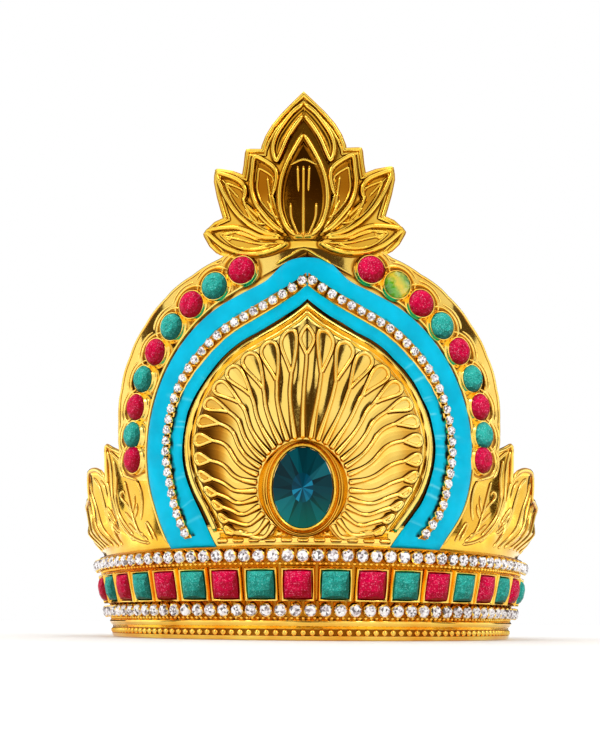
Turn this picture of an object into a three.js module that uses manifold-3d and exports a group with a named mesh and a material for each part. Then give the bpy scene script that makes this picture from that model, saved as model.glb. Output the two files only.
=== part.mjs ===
// Deity crown: a gold crown with a round base band, a pressed front plate that rises to a lotus crest,
// leaves at the sides, turquoise tape, rhinestone cup chain and set stones.
// Lengths are millimetres. +Z is up, the front faces -Y, and the floor is z = 0.

import * as THREE from 'three';
import { mergeVertices } from 'three/addons/utils/BufferGeometryUtils.js';
import Module from 'manifold-3d';

const wasm = await Module();
wasm.setup();

// Driving dimensions

const GAP = 0.3;                    // clearance between two pieces that touch
const SHEET = 1.2;                  // thickness of the pressed gold sheet
const AXIS_Y = 11.25;               // the band's axis stands behind the middle of the crown
const BAND_SIDES = 64;              // flats round the band
const PLATE_SIDES = 48;             // flats round the cone of the plate

const BAND_HEIGHT = 34.6;
const BAND_RADIUS = 89;             // outside of the plain wall at the floor
const BAND_FLARE = 0.28;            // outward run for each millimetre of rise
const BAND_WALL = 1.8;
const BAND_PROFILE = [              // height up the band, and how far it stands out of the plain wall
  { z: 0.0, proud: 0.2 },
  { z: 0.9, proud: 1.7 },
  { z: 2.7, proud: 1.7 },
  { z: 4.0, proud: 0.2 },
  { z: 4.8, proud: 1.2 },
  { z: 6.6, proud: 1.2 },
  { z: 7.4, proud: 0.0 },
  { z: 33.0, proud: 0.0 },
  { z: 33.6, proud: 1.0 },
  { z: 34.6, proud: 0.8 },
];

const SQUARE_COUNT = 18;
const SQUARE_PITCH = 8.19;          // degrees from stone to stone
const SQUARE_FIRST = -66.6;         // degrees from the front to the first stone, leftwards
const SQUARE_Z = 20.4;
const SQUARE_STONE = { side: 10, girdle: 2.0, table: 6.8, height: 3.4 };
const COLLET = { width: 12.6, height: 12.4, sink: 0.7, floor: 0.8, rise: 2.6 };

const TUBE_SIDES = 8;
const BAND_CHAIN_RADIUS = 2.0;
const BAND_CHAIN_ANGLE = 80;        // degrees from the front to either end
const BAND_CHAIN_STEPS = 30;
const UPPER_CHAIN_Z = 30.4;
const LOWER_CHAIN_Z = 10.3;

const PLATE_FLARE = 0.14;           // forward lean of the front plate
const PLATE_TOP = 216;              // above the tip of the crest
const FOOT_Z = 22.6;                // lower edge of the feet inside the band

// The arch is a straight flank from its point, tangent to a round side, then a straight leg to the band.
const ARCH = { apexZ: 135, centreX: 4, centreZ: 74, radius: 53, legAngle: -32, footZ: 35.4 };
const ARCH_FLANK_STEPS = 5;
const ARCH_ROUND_STEPS = 13;
const ARCH_LEG_STEPS = 2;

// Distances from the arch's middle line, outwards.
const TAPE = { inner: -7.2, outer: 7.2, thickness: 1 };
const TAPE_CHAIN_RADIUS = 1.5;
const TAPE_CHAIN_STEPS = 22;
const PLATE_EDGE = 8.9;             // edge of the plate outside the tape's legs
const PLATE_LEG_POINTS = 6;         // points of that edge, below the last stone
const FRAME = { inner: -12, crest: -9.7, outer: -7.5, edgeRise: 1.2, crestRise: 2.0 };
const STONE_ROW = 15.2;

const ROUND_COUNT = 9;
const ROUND_FIRST = 25.4;            // along the row from the middle to the first stone
const ROUND_PITCH = 11.35;
const ROUND_SIDES = 10;
const PALE_STONE = 1;               // the second stone on the right is paler
const ROUND_STONE = { radius: 5, girdle: 2.2, table: 3.1, height: 4.4 };
const ROUND_BEZEL = { inner: 5.3, outer: 6.3, sink: 0.6, floor: 0.4, rise: 1.9 };

const BORDER_EDGE = [               // outer edge of the border, from the crest down to the last stone
  { x: 33.0, z: 145.5 },
  { x: 44.2, z: 140.6 },
  { x: 53.8, z: 136.0 },
  { x: 63.2, z: 128.4 },
  { x: 71.6, z: 118.6 },
  { x: 77.0, z: 108.2 },
  { x: 79.6, z: 97.8 },
  { x: 80.0, z: 88.4 },
  { x: 79.0, z: 79.8 },
  { x: 78.6, z: 71.0 },
  { x: 76.4, z: 65.0 },
  { x: 71.0, z: 62.6 },
];
const CREST_BACKING = [             // sheet behind the petals, from the border to the middle
  { x: 28.0, z: 157.0 },
  { x: 18.0, z: 172.0 },
  { x: 0.0, z: 182.0 },
];

const FAN = {
  centreZ: 54.6, bezelX: 14.3, bezelZ: 16.2, baseZ: 36.4,
  flutes: 31, firstAngle: -22, lastAngle: 202, plainColumns: 8, underFrame: -9.2,
  openingShare: 0.96,
};
const FAN_ROWS = [                  // bezel to frame: lift off the plate and depth of the flutes
  { along: 0.0, lift: 4.0, flute: 0.2 },
  { along: 0.4, lift: 5.4, flute: 0.7 },
  { along: 0.8, lift: 4.0, flute: 1.0 },
  { along: 1.0, lift: 0.4, flute: 0.0 },
];
const OVAL_SIDES = 20;
const OVAL_BEZEL = { innerX: 11.3, innerZ: 15.3, outerX: 15.3, outerZ: 17.4, base: 1.4, seat: 2.8, top: 5.8 };
const OVAL_STONE = { x: 11, z: 15, girdle: 2.6, table: 0.62, height: 4.6 };
const SILL = { halfWidth: 33, low: 34.9, high: 37.4, rise: 1.6, steps: 8 };

const PETAL_ROWS = 6;
const PETAL_COLUMNS = 2;
const PETAL_FULLNESS = 1.4;         // puts the widest place beyond the middle of a petal
const PETALS = [                    // middle line from root to tip, half width, lifts off the plate
  {
    name: 'top', half: 16.5, edge: 0.7, rib: 1.0, under: -0.95,
    root: { x: 0, z: 150 }, bend: { x: 0, z: 180 }, tip: { x: 0, z: 211 },
  },
  {
    name: 'low', half: 4.6, edge: 0.6, rib: 1.4, under: -0.8,
    root: { x: 3.7, z: 149.1 }, bend: { x: 25, z: 149 }, tip: { x: 41, z: 156.2 },
  },
  {
    name: 'outer', half: 6.8, edge: 1.2, rib: 1.4, under: -0.65,
    root: { x: 2.4, z: 147.3 }, bend: { x: 26, z: 157 }, tip: { x: 36, z: 182 },
  },
  {
    name: 'inner', half: 6.8, edge: 1.8, rib: 1.4, under: -0.5,
    root: { x: 3.1, z: 151.2 }, bend: { x: 16, z: 166 }, tip: { x: 23.4, z: 188.6 },
  },
  {
    name: 'bud', half: 10, edge: 2.6, rib: 2.0, under: -0.3,
    root: { x: 0, z: 152.6 }, bend: { x: 0, z: 170 }, tip: { x: 0, z: 194 },
  },
];

const LEAF_RISE = 12;               // height over which a leaf swings out of the band
const LEAF_ROWS = [0.3, 0.65, 1];   // rows of a leaf, as parts of its height above the band
const LEAVES = [                    // degrees from the front, upper edge, swing outwards, rib
  { angle: 36.8, top: 40, swing: -2.4, rib: 0 },
  { angle: 40.5, top: 57, swing: -2.4, rib: 0 },
  { angle: 45, top: 69, swing: -2.4, rib: 0 },
  { angle: 50, top: 75, swing: -2.4, rib: 0 },
  { angle: 54.5, top: 78, swing: -0.4, rib: 1.0 },
  { angle: 57.5, top: 80, swing: 0.6, rib: 0 },
  { angle: 58.5, top: 65, swing: 1.2, rib: -0.4 },
  { angle: 61, top: 70, swing: 2.4, rib: 0 },
  { angle: 65, top: 71.5, swing: 3.8, rib: 1.0 },
  { angle: 69.5, top: 69, swing: 4.7, rib: 0 },
  { angle: 71, top: 61, swing: 5.0, rib: -0.4 },
  { angle: 74, top: 59.5, swing: 5.3, rib: 0 },
  { angle: 79, top: 57, swing: 5.4, rib: 1.0 },
  { angle: 85, top: 50, swing: 5.4, rib: 0 },
  { angle: 91, top: 40, swing: 4.4, rib: 0 },
];

const finish = (name, color, metalness, roughness) => new THREE.MeshStandardMaterial({
  name, color, metalness, roughness,
});
const GOLD = finish('gold', 0xd9a43a, 1, 0.22);
const TURQUOISE = finish('turquoise_tape', 0x0c8f88, 0, 0.25);
const RHINESTONE = finish('rhinestone_chain', 0xd8d4cc, 0, 0.15);
const RED = finish('red_stone', 0xb3122f, 0, 0.2);
const GREEN = finish('green_stone', 0x0f7a5c, 0, 0.2);
const PALE_GREEN = finish('pale_green_stone', 0x8fae4a, 0, 0.2);
const TEAL = finish('teal_stone', 0x07444c, 0, 0.1);

// Closed bodies

const DEGREE = Math.PI / 180;

// Body of a closed geometry, its points joined and its empty triangles dropped.
function body(geometry) {
  const bare = new THREE.BufferGeometry();
  bare.setAttribute('position', geometry.getAttribute('position'));
  bare.setIndex(geometry.getIndex());
  const joined = mergeVertices(bare, 1e-4);
  const index = joined.getIndex().array;
  const kept = [];
  for (let t = 0; t < index.length; t += 3) {
    const [a, b, c] = index.slice(t, t + 3);
    const isEmpty = a === b || b === c || c === a;
    if (!isEmpty) kept.push(a, b, c);
  }
  return new wasm.Manifold(new wasm.Mesh({
    numProp: 3,
    vertProperties: joined.getAttribute('position').array,
    triVerts: new Uint32Array(kept),
  }));
}

function geometryOf(solid) {
  const mesh = solid.getMesh();
  const geometry = new THREE.BufferGeometry();
  geometry.setAttribute('position', new THREE.BufferAttribute(mesh.vertProperties, 3));
  geometry.setIndex(new THREE.BufferAttribute(mesh.triVerts, 1));
  geometry.computeVertexNormals();
  return geometry;
}

// Wall between two grids of points, grid[column][row].
// Columns run rightwards and rows upwards, seen from outside.
function wall(front, back, wraps = false) {
  const columns = front.length;
  const rows = front[0].length;
  const corner = (side, i, j) => (side * columns + (i % columns)) * rows + j;
  const lastColumn = columns - 1;
  const lastRow = rows - 1;
  const index = [];
  const quad = (a, b, c, d) => index.push(a, b, c, a, c, d);
  const strips = wraps ? columns : columns - 1;
  for (let i = 0; i < strips; i++) {
    for (let j = 0; j + 1 < rows; j++) {
      quad(corner(0, i, j), corner(0, i + 1, j), corner(0, i + 1, j + 1), corner(0, i, j + 1));
      quad(corner(1, i, j), corner(1, i, j + 1), corner(1, i + 1, j + 1), corner(1, i + 1, j));
    }
    quad(corner(0, i + 1, 0), corner(0, i, 0), corner(1, i, 0), corner(1, i + 1, 0));
    quad(corner(0, i, lastRow), corner(0, i + 1, lastRow), corner(1, i + 1, lastRow), corner(1, i, lastRow));
  }
  if (!wraps) {
    for (let j = 0; j + 1 < rows; j++) {
      quad(corner(0, 0, j), corner(0, 0, j + 1), corner(1, 0, j + 1), corner(1, 0, j));
      const i = lastColumn;
      quad(corner(0, i, j + 1), corner(0, i, j), corner(1, i, j), corner(1, i, j + 1));
    }
  }
  const geometry = new THREE.BufferGeometry().setFromPoints([...front.flat(), ...back.flat()]);
  geometry.setIndex(index);
  return geometry;
}

// Ring turned about the upright axis from a closed profile of { r, z } points, the front at its first flat.
function ring(profile, sides) {
  const closed = [...profile, profile[0]].map((p) => new THREE.Vector2(p.r, p.z));
  return new THREE.LatheGeometry(closed, sides).rotateX(Math.PI / 2);
}

// Upright prism over a front view outline, from the axis forwards.
function frontPrism(points) {
  const shape = new THREE.Shape(points.map((p) => new THREE.Vector2(p.x, p.z)));
  const depth = BAND_RADIUS * 2;
  return new THREE.ExtrudeGeometry(shape, { depth, bevelEnabled: false }).rotateX(Math.PI / 2);
}

// Cones of the band and of the plate

const bandRadius = (z) => BAND_RADIUS + BAND_FLARE * z;
const bandInside = (z) => bandRadius(z) - BAND_WALL;
const plateRadius = (z) => {
  const foot = bandInside(Math.min(z, BAND_HEIGHT)) - GAP;
  return foot + PLATE_FLARE * Math.max(z - BAND_HEIGHT, 0);
};

function onCone(angle, radius, z) {
  return new THREE.Vector3(radius * Math.sin(angle), -radius * Math.cos(angle), z);
}

// Point of the plate seen at x, z from the front, lifted off its outer face.
function onPlate(x, z, lift) {
  const radius = plateRadius(z);
  return onCone(Math.asin(x / radius), radius + lift, z);
}

// Place on a cone with its own axes: X along the ring, Y up the wall, Z out of the wall.
function seatOnCone(angle, radius, z, flare, lift) {
  const out = new THREE.Vector3(Math.sin(angle), -Math.cos(angle), -flare).normalize();
  const along = new THREE.Vector3(Math.cos(angle), Math.sin(angle), 0);
  const up = new THREE.Vector3().crossVectors(out, along);
  const place = onCone(angle, radius, z).addScaledVector(out, lift);
  return new THREE.Matrix4().makeBasis(along, up, out).setPosition(place);
}

function seatOnPlate(x, z, lift) {
  const radius = plateRadius(z);
  return seatOnCone(Math.asin(x / radius), radius, z, PLATE_FLARE, lift);
}

// Arch

const archFlank = (() => {
  const toCentre = new THREE.Vector2(ARCH.centreX, ARCH.centreZ - ARCH.apexZ);
  const turn = Math.asin(ARCH.radius / toCentre.length());
  return toCentre.angle() + turn - 2 * Math.PI;
})();

// Points of the right half of the arch at a distance outwards from its middle line, from the apex down.
function archHalf(distance) {
  const reach = ARCH.radius + distance;
  const startAngle = archFlank + Math.PI / 2;
  const endAngle = ARCH.legAngle * DEGREE;
  const round = (angle) => ({
    x: ARCH.centreX + reach * Math.cos(angle),
    z: ARCH.centreZ + reach * Math.sin(angle),
  });
  const tangent = round(startAngle);
  const apexZ = tangent.z - tangent.x * Math.tan(archFlank);
  const legEnd = round(endAngle);
  const legRun = (legEnd.z - ARCH.footZ) * Math.tan(-endAngle);
  const points = [];
  for (let i = 0; i < ARCH_FLANK_STEPS; i++) {
    const part = i / ARCH_FLANK_STEPS;
    points.push({ x: tangent.x * part, z: apexZ + (tangent.z - apexZ) * part });
  }
  for (let i = 0; i <= ARCH_ROUND_STEPS; i++) {
    points.push(round(startAngle + (endAngle - startAngle) * (i / ARCH_ROUND_STEPS)));
  }
  for (let i = 1; i <= ARCH_LEG_STEPS; i++) {
    const part = i / ARCH_LEG_STEPS;
    points.push({ x: legEnd.x - legRun * part, z: legEnd.z + (ARCH.footZ - legEnd.z) * part });
  }
  return points;
}

const mirrored = (points) => points.map((p) => ({ x: -p.x, z: p.z })).reverse();

// Whole arch from the left foot over the apex to the right foot.
function archWhole(distance) {
  const half = archHalf(distance);
  return [...mirrored(half.slice(1)), ...half];
}

// Strip along the arch: rows of { distance, lift } across it, and one lift for its underside.
function archStrip(rows, under) {
  const paths = rows.map((row) => archWhole(row.distance));
  const columns = paths[0].map((_, i) => paths.map((path, j) => ({ ...path[i], lift: rows[j].lift })));
  const front = columns.map((column) => column.map((p) => onPlate(p.x, p.z, p.lift)));
  const back = columns.map((column) => column.map((p) => onPlate(p.x, p.z, under)));
  return wall(front, back);
}

// Place along a path of { x, z } points at a length from its start.
function alongPath(points, length) {
  const path = new THREE.CurvePath();
  for (let i = 0; i + 1 < points.length; i++) {
    const from = new THREE.Vector2(points[i].x, points[i].z);
    const to = new THREE.Vector2(points[i + 1].x, points[i + 1].z);
    path.add(new THREE.LineCurve(from, to));
  }
  return path.getPointAt(length / path.getLength());
}

// Cut stone: floor, girdle, crown facets and a table, its axes in X and Y, standing on z = 0.
function cutStone({ sides, x, y, girdle, table, height, turn = 0 }) {
  const profile = [[0, 0], [1, 0], [1, girdle], [table, height], [0, height]];
  const points = profile.map(([r, z]) => new THREE.Vector2(r, z));
  return new THREE.LatheGeometry(points, sides, turn).rotateX(Math.PI / 2).scale(x, y, 1);
}

// Collar of a stone, its inside open down to a floor.
function collar({ sides, innerX, innerY, outerX, outerY, base, floor, top }) {
  const innerRatio = innerX / outerX;
  const profile = [[0, base], [1, base], [1, top], [innerRatio, top], [innerRatio, floor], [0, floor]];
  const points = profile.map(([r, z]) => new THREE.Vector2(r, z));
  const geometry = new THREE.LatheGeometry(points, sides).rotateX(Math.PI / 2);
  const place = geometry.getAttribute('position');
  for (let i = 0; i < place.count; i++) {
    const inside = Math.hypot(place.getX(i), place.getY(i)) < (1 + innerRatio) / 2;
    place.setX(i, place.getX(i) * outerX);
    place.setY(i, place.getY(i) * (inside ? innerY / innerRatio : outerY));
  }
  return geometry;
}

// Base band

// Square collet with a floor, its foot sunk in the wall of the band.
function collet(number) {
  const { width, height, sink, floor, rise } = COLLET;
  const clear = SQUARE_STONE.side + 2 * GAP;
  const block = new THREE.BoxGeometry(width, height, rise + sink).translate(0, 0, (rise - sink) / 2);
  const pocket = new THREE.BoxGeometry(clear, clear, rise).translate(0, 0, floor + rise / 2);
  const seat = squareSeat(number, 0);
  return body(block.applyMatrix4(seat)).subtract(body(pocket.applyMatrix4(seat)));
}

function baseBand() {
  const outside = BAND_PROFILE.map(({ z, proud }) => ({ r: bandRadius(z) + proud, z }));
  const inside = [{ r: bandInside(BAND_HEIGHT), z: BAND_HEIGHT }, { r: bandInside(0), z: 0 }];
  let solid = body(ring([...outside, ...inside], BAND_SIDES));
  for (let i = 0; i < SQUARE_COUNT; i++) {
    solid = solid.add(collet(i));
  }
  return geometryOf(solid);
}

function squareSeat(number, lift) {
  const angle = (SQUARE_FIRST + SQUARE_PITCH * number) * DEGREE;
  return seatOnCone(angle, bandRadius(SQUARE_Z), SQUARE_Z, BAND_FLARE, lift);
}

function squareStone(number) {
  const { side, girdle, table, height } = SQUARE_STONE;
  const reach = side / 2 / Math.cos(Math.PI / 8);
  const geometry = cutStone({
    sides: 8, x: reach, y: reach, girdle, table: table / side, height, turn: Math.PI / 8,
  });
  return geometry.applyMatrix4(squareSeat(number, COLLET.floor + GAP));
}

function bandChain(z) {
  const points = [];
  for (let i = 0; i <= BAND_CHAIN_STEPS; i++) {
    const angle = BAND_CHAIN_ANGLE * (2 * i / BAND_CHAIN_STEPS - 1) * DEGREE;
    const seat = seatOnCone(angle, bandRadius(z), z, BAND_FLARE, GAP + BAND_CHAIN_RADIUS);
    points.push(new THREE.Vector3().setFromMatrixPosition(seat));
  }
  return tube(points, BAND_CHAIN_RADIUS, BAND_CHAIN_STEPS);
}

function tube(points, radius, steps) {
  const section = new THREE.Shape().absarc(0, 0, radius, 0, 2 * Math.PI);
  const extrudePath = new THREE.CatmullRomCurve3(points);
  return new THREE.ExtrudeGeometry(section, { steps, extrudePath, curveSegments: TUBE_SIDES / 2 });
}

// Front plate

function plateOutline() {
  const leg = archHalf(PLATE_EDGE).slice(-PLATE_LEG_POINTS);
  const foot = { x: leg[leg.length - 1].x, z: FOOT_Z };
  const right = [...CREST_BACKING.slice().reverse(), ...BORDER_EDGE, ...leg, foot];
  return [...right, ...mirrored(right.slice(1))];
}

// Distance from the fan's centre to its edge under the frame or to the sill.
function fanReach(angle) {
  const edge = archWhole(FAN.underFrame);
  const direction = new THREE.Vector2(Math.cos(angle), Math.sin(angle));
  let reach = direction.y < 0 ? (FAN.baseZ - FAN.centreZ) / direction.y : Infinity;
  for (let i = 0; i + 1 < edge.length; i++) {
    const from = new THREE.Vector2(edge[i].x, edge[i].z - FAN.centreZ);
    const side = new THREE.Vector2(edge[i + 1].x, edge[i + 1].z - FAN.centreZ).sub(from);
    const turn = direction.cross(side);
    const part = from.cross(direction) / turn;
    const length = from.cross(side) / turn;
    if (part >= 0 && part <= 1 && length > 0) reach = Math.min(reach, length);
  }
  return reach;
}

function fanColumns() {
  const columns = [];
  const fluted = 2 * FAN.flutes;
  for (let i = 0; i <= fluted; i++) {
    const angle = FAN.lastAngle + (FAN.firstAngle - FAN.lastAngle) * (i / fluted);
    columns.push({ angle: angle * DEGREE, side: i % 2 ? 1 : -1 });
  }
  for (let i = 1; i < FAN.plainColumns; i++) {
    const angle = FAN.firstAngle + (FAN.lastAngle - 360 - FAN.firstAngle) * (i / FAN.plainColumns);
    columns.push({ angle: angle * DEGREE, side: 0 });
  }
  return columns;
}

function fanPoint(angle, along) {
  const bezel = 1 / Math.hypot(Math.cos(angle) / FAN.bezelX, Math.sin(angle) / FAN.bezelZ);
  const reach = bezel + (fanReach(angle) - bezel) * along;
  return { x: reach * Math.cos(angle), z: FAN.centreZ + reach * Math.sin(angle) };
}

function fanPanel() {
  const columns = fanColumns();
  const grid = (depth) => columns.map(({ angle, side }) => FAN_ROWS.map(({ along, lift, flute }) => {
    const { x, z } = fanPoint(angle, along);
    return onPlate(x, z, lift + side * flute - depth);
  }));
  return wall(grid(0), grid(SHEET), true);
}

function fanOpening() {
  const columns = fanColumns().filter((_, i) => i % 2 === 0);
  const edge = columns.map(({ angle }) => fanPoint(angle, FAN.openingShare));
  return frontPrism(edge);
}

// Petal that narrows to its root and tip, ribbed along its middle line, on the side that mirror gives.
function petal({ root, bend, tip, half, edge, rib, under }, mirror) {
  const [from, over, to] = [root, bend, tip].map(({ x, z }) => new THREE.Vector2(x, z));
  const middle = new THREE.QuadraticBezierCurve(from, over, to);
  const front = [];
  const back = [];
  for (let i = 0; i <= PETAL_COLUMNS; i++) {
    const across = mirror * (2 * i / PETAL_COLUMNS - 1);
    front.push([]);
    back.push([]);
    for (let j = 0; j <= PETAL_ROWS; j++) {
      const t = j / PETAL_ROWS;
      const place = middle.getPoint(t);
      const along = middle.getTangent(t);
      const width = half * Math.sin(Math.PI * t ** PETAL_FULLNESS) * across;
      const x = mirror * (place.x + along.y * width);
      const z = place.y - along.x * width;
      front[i].push(onPlate(x, z, edge + rib * (1 - Math.abs(across)) * Math.sin(Math.PI * t)));
      back[i].push(onPlate(x, z, under));
    }
  }
  return wall(front, back);
}

function sill() {
  const front = [];
  const back = [];
  for (let i = 0; i <= SILL.steps; i++) {
    const x = SILL.halfWidth * (2 * i / SILL.steps - 1);
    front.push([SILL.low, SILL.high].map((z) => onPlate(x, z, SILL.rise)));
    back.push([SILL.low, SILL.high].map((z) => onPlate(x, z, -SHEET / 2)));
  }
  return wall(front, back);
}

function roundSeat(number, side, lift) {
  const place = alongPath(archHalf(STONE_ROW), ROUND_FIRST + ROUND_PITCH * number);
  return seatOnPlate(side * place.x, place.y, lift);
}

function roundBezel(number, side) {
  const { inner, outer, sink, floor, rise } = ROUND_BEZEL;
  const geometry = collar({
    sides: ROUND_SIDES, innerX: inner, innerY: inner, outerX: outer, outerY: outer,
    base: -sink, floor, top: rise,
  });
  return geometry.applyMatrix4(roundSeat(number, side, 0));
}

function frontPlate() {
  const sheet = ring([
    { r: plateRadius(FOOT_Z), z: FOOT_Z },
    { r: plateRadius(BAND_HEIGHT), z: BAND_HEIGHT },
    { r: plateRadius(PLATE_TOP), z: PLATE_TOP },
    { r: plateRadius(PLATE_TOP) - SHEET, z: PLATE_TOP },
    { r: plateRadius(BAND_HEIGHT) - SHEET, z: BAND_HEIGHT },
    { r: plateRadius(FOOT_Z) - SHEET, z: FOOT_Z },
  ], PLATE_SIDES);
  let solid = body(sheet).intersect(body(frontPrism(plateOutline())));
  solid = solid.subtract(body(fanOpening()));
  const relief = [
    fanPanel(),
    sill(),
    archStrip([
      { distance: FRAME.inner, lift: FRAME.edgeRise },
      { distance: FRAME.crest, lift: FRAME.crestRise },
      { distance: FRAME.outer, lift: FRAME.edgeRise },
    ], -SHEET / 2),
    collar({
      sides: OVAL_SIDES, innerX: OVAL_BEZEL.innerX, innerY: OVAL_BEZEL.innerZ, outerX: OVAL_BEZEL.outerX,
      outerY: OVAL_BEZEL.outerZ, base: OVAL_BEZEL.base, floor: OVAL_BEZEL.seat, top: OVAL_BEZEL.top,
    }).applyMatrix4(seatOnPlate(0, FAN.centreZ, 0)),
  ];
  for (const row of PETALS) {
    const sides = row.tip.x > 0 ? [-1, 1] : [1];
    sides.forEach((side) => relief.push(petal(row, side)));
  }
  for (let i = 0; i < ROUND_COUNT; i++) {
    relief.push(roundBezel(i, -1), roundBezel(i, 1));
  }
  for (const piece of relief) {
    solid = solid.add(body(piece));
  }
  return geometryOf(solid);
}

function roundStone(number, side) {
  const { radius, girdle, table, height } = ROUND_STONE;
  const geometry = cutStone({
    sides: ROUND_SIDES, x: radius, y: radius, girdle, table: table / radius, height,
  });
  return geometry.applyMatrix4(roundSeat(number, side, ROUND_BEZEL.floor + GAP));
}

function centreStone() {
  const { x, z, girdle, table, height } = OVAL_STONE;
  const geometry = cutStone({ sides: OVAL_SIDES, x, y: z, girdle, table, height });
  return geometry.applyMatrix4(seatOnPlate(0, FAN.centreZ, OVAL_BEZEL.seat + GAP));
}

// Tape and its chain

function tape() {
  const lift = GAP + TAPE.thickness;
  const rows = [TAPE.inner, 0, TAPE.outer].map((distance) => ({ distance, lift }));
  return archStrip(rows, GAP);
}

function tapeChain(side) {
  const half = archHalf(0);
  const lift = GAP + TAPE.thickness + GAP + TAPE_CHAIN_RADIUS;
  const points = half.map((p) => onPlate(side * p.x, p.z, lift));
  points[0].x = side * (TAPE_CHAIN_RADIUS + GAP);
  return tube(points, TAPE_CHAIN_RADIUS, TAPE_CHAIN_STEPS);
}

// Side leaves

function sideLeaves(side) {
  const columns = side > 0 ? LEAVES : LEAVES.slice().reverse();
  const grid = (depth) => columns.map(({ angle, top, swing, rib }) => {
    const above = LEAF_ROWS.map((share) => BAND_HEIGHT + (top - BAND_HEIGHT) * share);
    const heights = [FOOT_Z, BAND_HEIGHT, ...above];
    return heights.map((z) => {
      const rise = THREE.MathUtils.smoothstep(z - BAND_HEIGHT, 0, LEAF_RISE);
      return onCone(side * angle * DEGREE, plateRadius(z) + (swing + rib) * rise - depth, z);
    });
  });
  return wall(grid(0), grid(SHEET));
}

// Assembly

const crown = new THREE.Group();
crown.name = 'deity_crown';
crown.position.y = AXIS_Y;

function add(name, geometry, material) {
  const mesh = new THREE.Mesh(geometry, material);
  mesh.name = name;
  crown.add(mesh);
}

add('base_band', baseBand(), GOLD);
add('front_plate', frontPlate(), GOLD);
add('side_leaves_left', sideLeaves(-1), GOLD);
add('side_leaves_right', sideLeaves(1), GOLD);
add('tape', tape(), TURQUOISE);
add('tape_chain_left', tapeChain(-1), RHINESTONE);
add('tape_chain_right', tapeChain(1), RHINESTONE);
add('upper_chain', bandChain(UPPER_CHAIN_Z), RHINESTONE);
add('lower_chain', bandChain(LOWER_CHAIN_Z), RHINESTONE);
add('centre_stone', centreStone(), TEAL);
for (let i = 0; i < ROUND_COUNT; i++) {
  const colour = i % 2 ? GREEN : RED;
  add(`round_stone_left_${i + 1}`, roundStone(i, -1), colour);
  add(`round_stone_right_${i + 1}`, roundStone(i, 1), i === PALE_STONE ? PALE_GREEN : colour);
}
for (let i = 0; i < SQUARE_COUNT; i++) {
  add(`square_stone_${i + 1}`, squareStone(i), i % 2 ? GREEN : RED);
}

const part = new THREE.Group();
part.name = 'crown_part';
part.add(crown);
export default part;
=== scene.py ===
# %% [markdown]
# # A deity crown in pressed gold
# The crown is a gold-plated shell for the head of a statue: a round band set with stones, a tall pressed
# front plate with a fan and a lotus, and leaves at the sides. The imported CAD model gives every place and
# size. This notebook dresses it: each plain solid is replaced by surfaces that are worked out with numpy.

import bmesh
import bpy
import numpy as np
from mathutils import Matrix


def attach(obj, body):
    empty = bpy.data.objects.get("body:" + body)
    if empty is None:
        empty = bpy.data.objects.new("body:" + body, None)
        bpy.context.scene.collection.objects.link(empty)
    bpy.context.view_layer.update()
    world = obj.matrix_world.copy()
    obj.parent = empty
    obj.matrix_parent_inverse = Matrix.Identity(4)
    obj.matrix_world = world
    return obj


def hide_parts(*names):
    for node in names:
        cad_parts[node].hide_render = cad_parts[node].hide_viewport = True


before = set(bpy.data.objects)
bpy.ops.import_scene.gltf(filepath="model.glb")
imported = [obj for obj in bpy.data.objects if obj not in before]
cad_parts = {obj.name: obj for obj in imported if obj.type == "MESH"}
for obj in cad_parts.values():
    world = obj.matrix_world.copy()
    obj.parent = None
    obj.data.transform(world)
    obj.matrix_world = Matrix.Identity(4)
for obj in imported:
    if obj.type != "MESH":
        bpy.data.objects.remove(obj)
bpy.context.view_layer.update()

# %% [markdown]
# ## From arrays to pieces
# Every piece is a set of points and a set of faces, both numpy arrays. A grid of points needs only its
# number of rows and columns to know its faces, so one small function serves all of them. Points are kept in
# millimetres from the ring's own axis, because the crown is round about that axis, and become metres when
# the mesh is written.

# %% Grids, copies and meshes
MM = 0.001
AXIS_Y = 11.25
SHARP = np.radians(48)
MERGE = 1e-6


def grid_quads(rows, columns, wrap_rows=False, wrap_columns=False):
    """Quads of a grid whose point (row, column) has the number row * columns + column."""
    r = np.arange(rows if wrap_rows else rows - 1)[:, None]
    c = np.arange(columns if wrap_columns else columns - 1)[None, :]
    below, beside = (r + 1) % rows, (c + 1) % columns
    corners = [r * columns + c, r * columns + beside, below * columns + beside, below * columns + c]
    return np.stack(np.broadcast_arrays(*corners), -1).reshape(-1, 4)


def gather(shapes):
    """Several (points, faces) as one: the face numbers of each are raised by the count of points before
    it."""
    counts = np.cumsum([0] + [len(points) for points, _ in shapes])
    points = np.concatenate([points for points, _ in shapes])
    return points, np.concatenate([faces + start for (_, faces), start in zip(shapes, counts)])


def stamp(points, faces, seats):
    """Copies of one small shape, one for each seat: origin + x * along + y * up + z * out."""
    origin, along, up, out = (axis[:, None] for axis in seats)
    placed = origin + points[:, :1] * along + points[:, 1:2] * up + points[:, 2:] * out
    numbers = faces[None] + (np.arange(len(origin)) * len(points))[:, None, None]
    return placed.reshape(-1, 3), numbers.reshape(-1, faces.shape[1])


def write_mesh(name, points, faces):
    """A Blender mesh from points in mm about the ring's axis, and faces that all have the same number of
    corners."""
    mesh = bpy.data.meshes.new(name)
    mesh.vertices.add(len(points))
    mesh.vertices.foreach_set("co", ((points + (0, AXIS_Y, 0)) * MM).ravel())
    mesh.loops.add(faces.size)
    mesh.loops.foreach_set("vertex_index", faces.ravel())
    mesh.polygons.add(len(faces))
    mesh.polygons.foreach_set("loop_start", np.arange(0, faces.size, faces.shape[1]))
    mesh.update(calc_edges=True)
    return mesh


def turn_outwards(mesh):
    """Merges points that coincide, so that seams and poles close, and turns all faces outwards."""
    shape = bmesh.new()
    shape.from_mesh(mesh)
    bmesh.ops.remove_doubles(shape, verts=shape.verts, dist=MERGE)
    bmesh.ops.recalc_face_normals(shape, faces=shape.faces)
    shape.to_mesh(mesh)
    shape.free()


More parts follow.
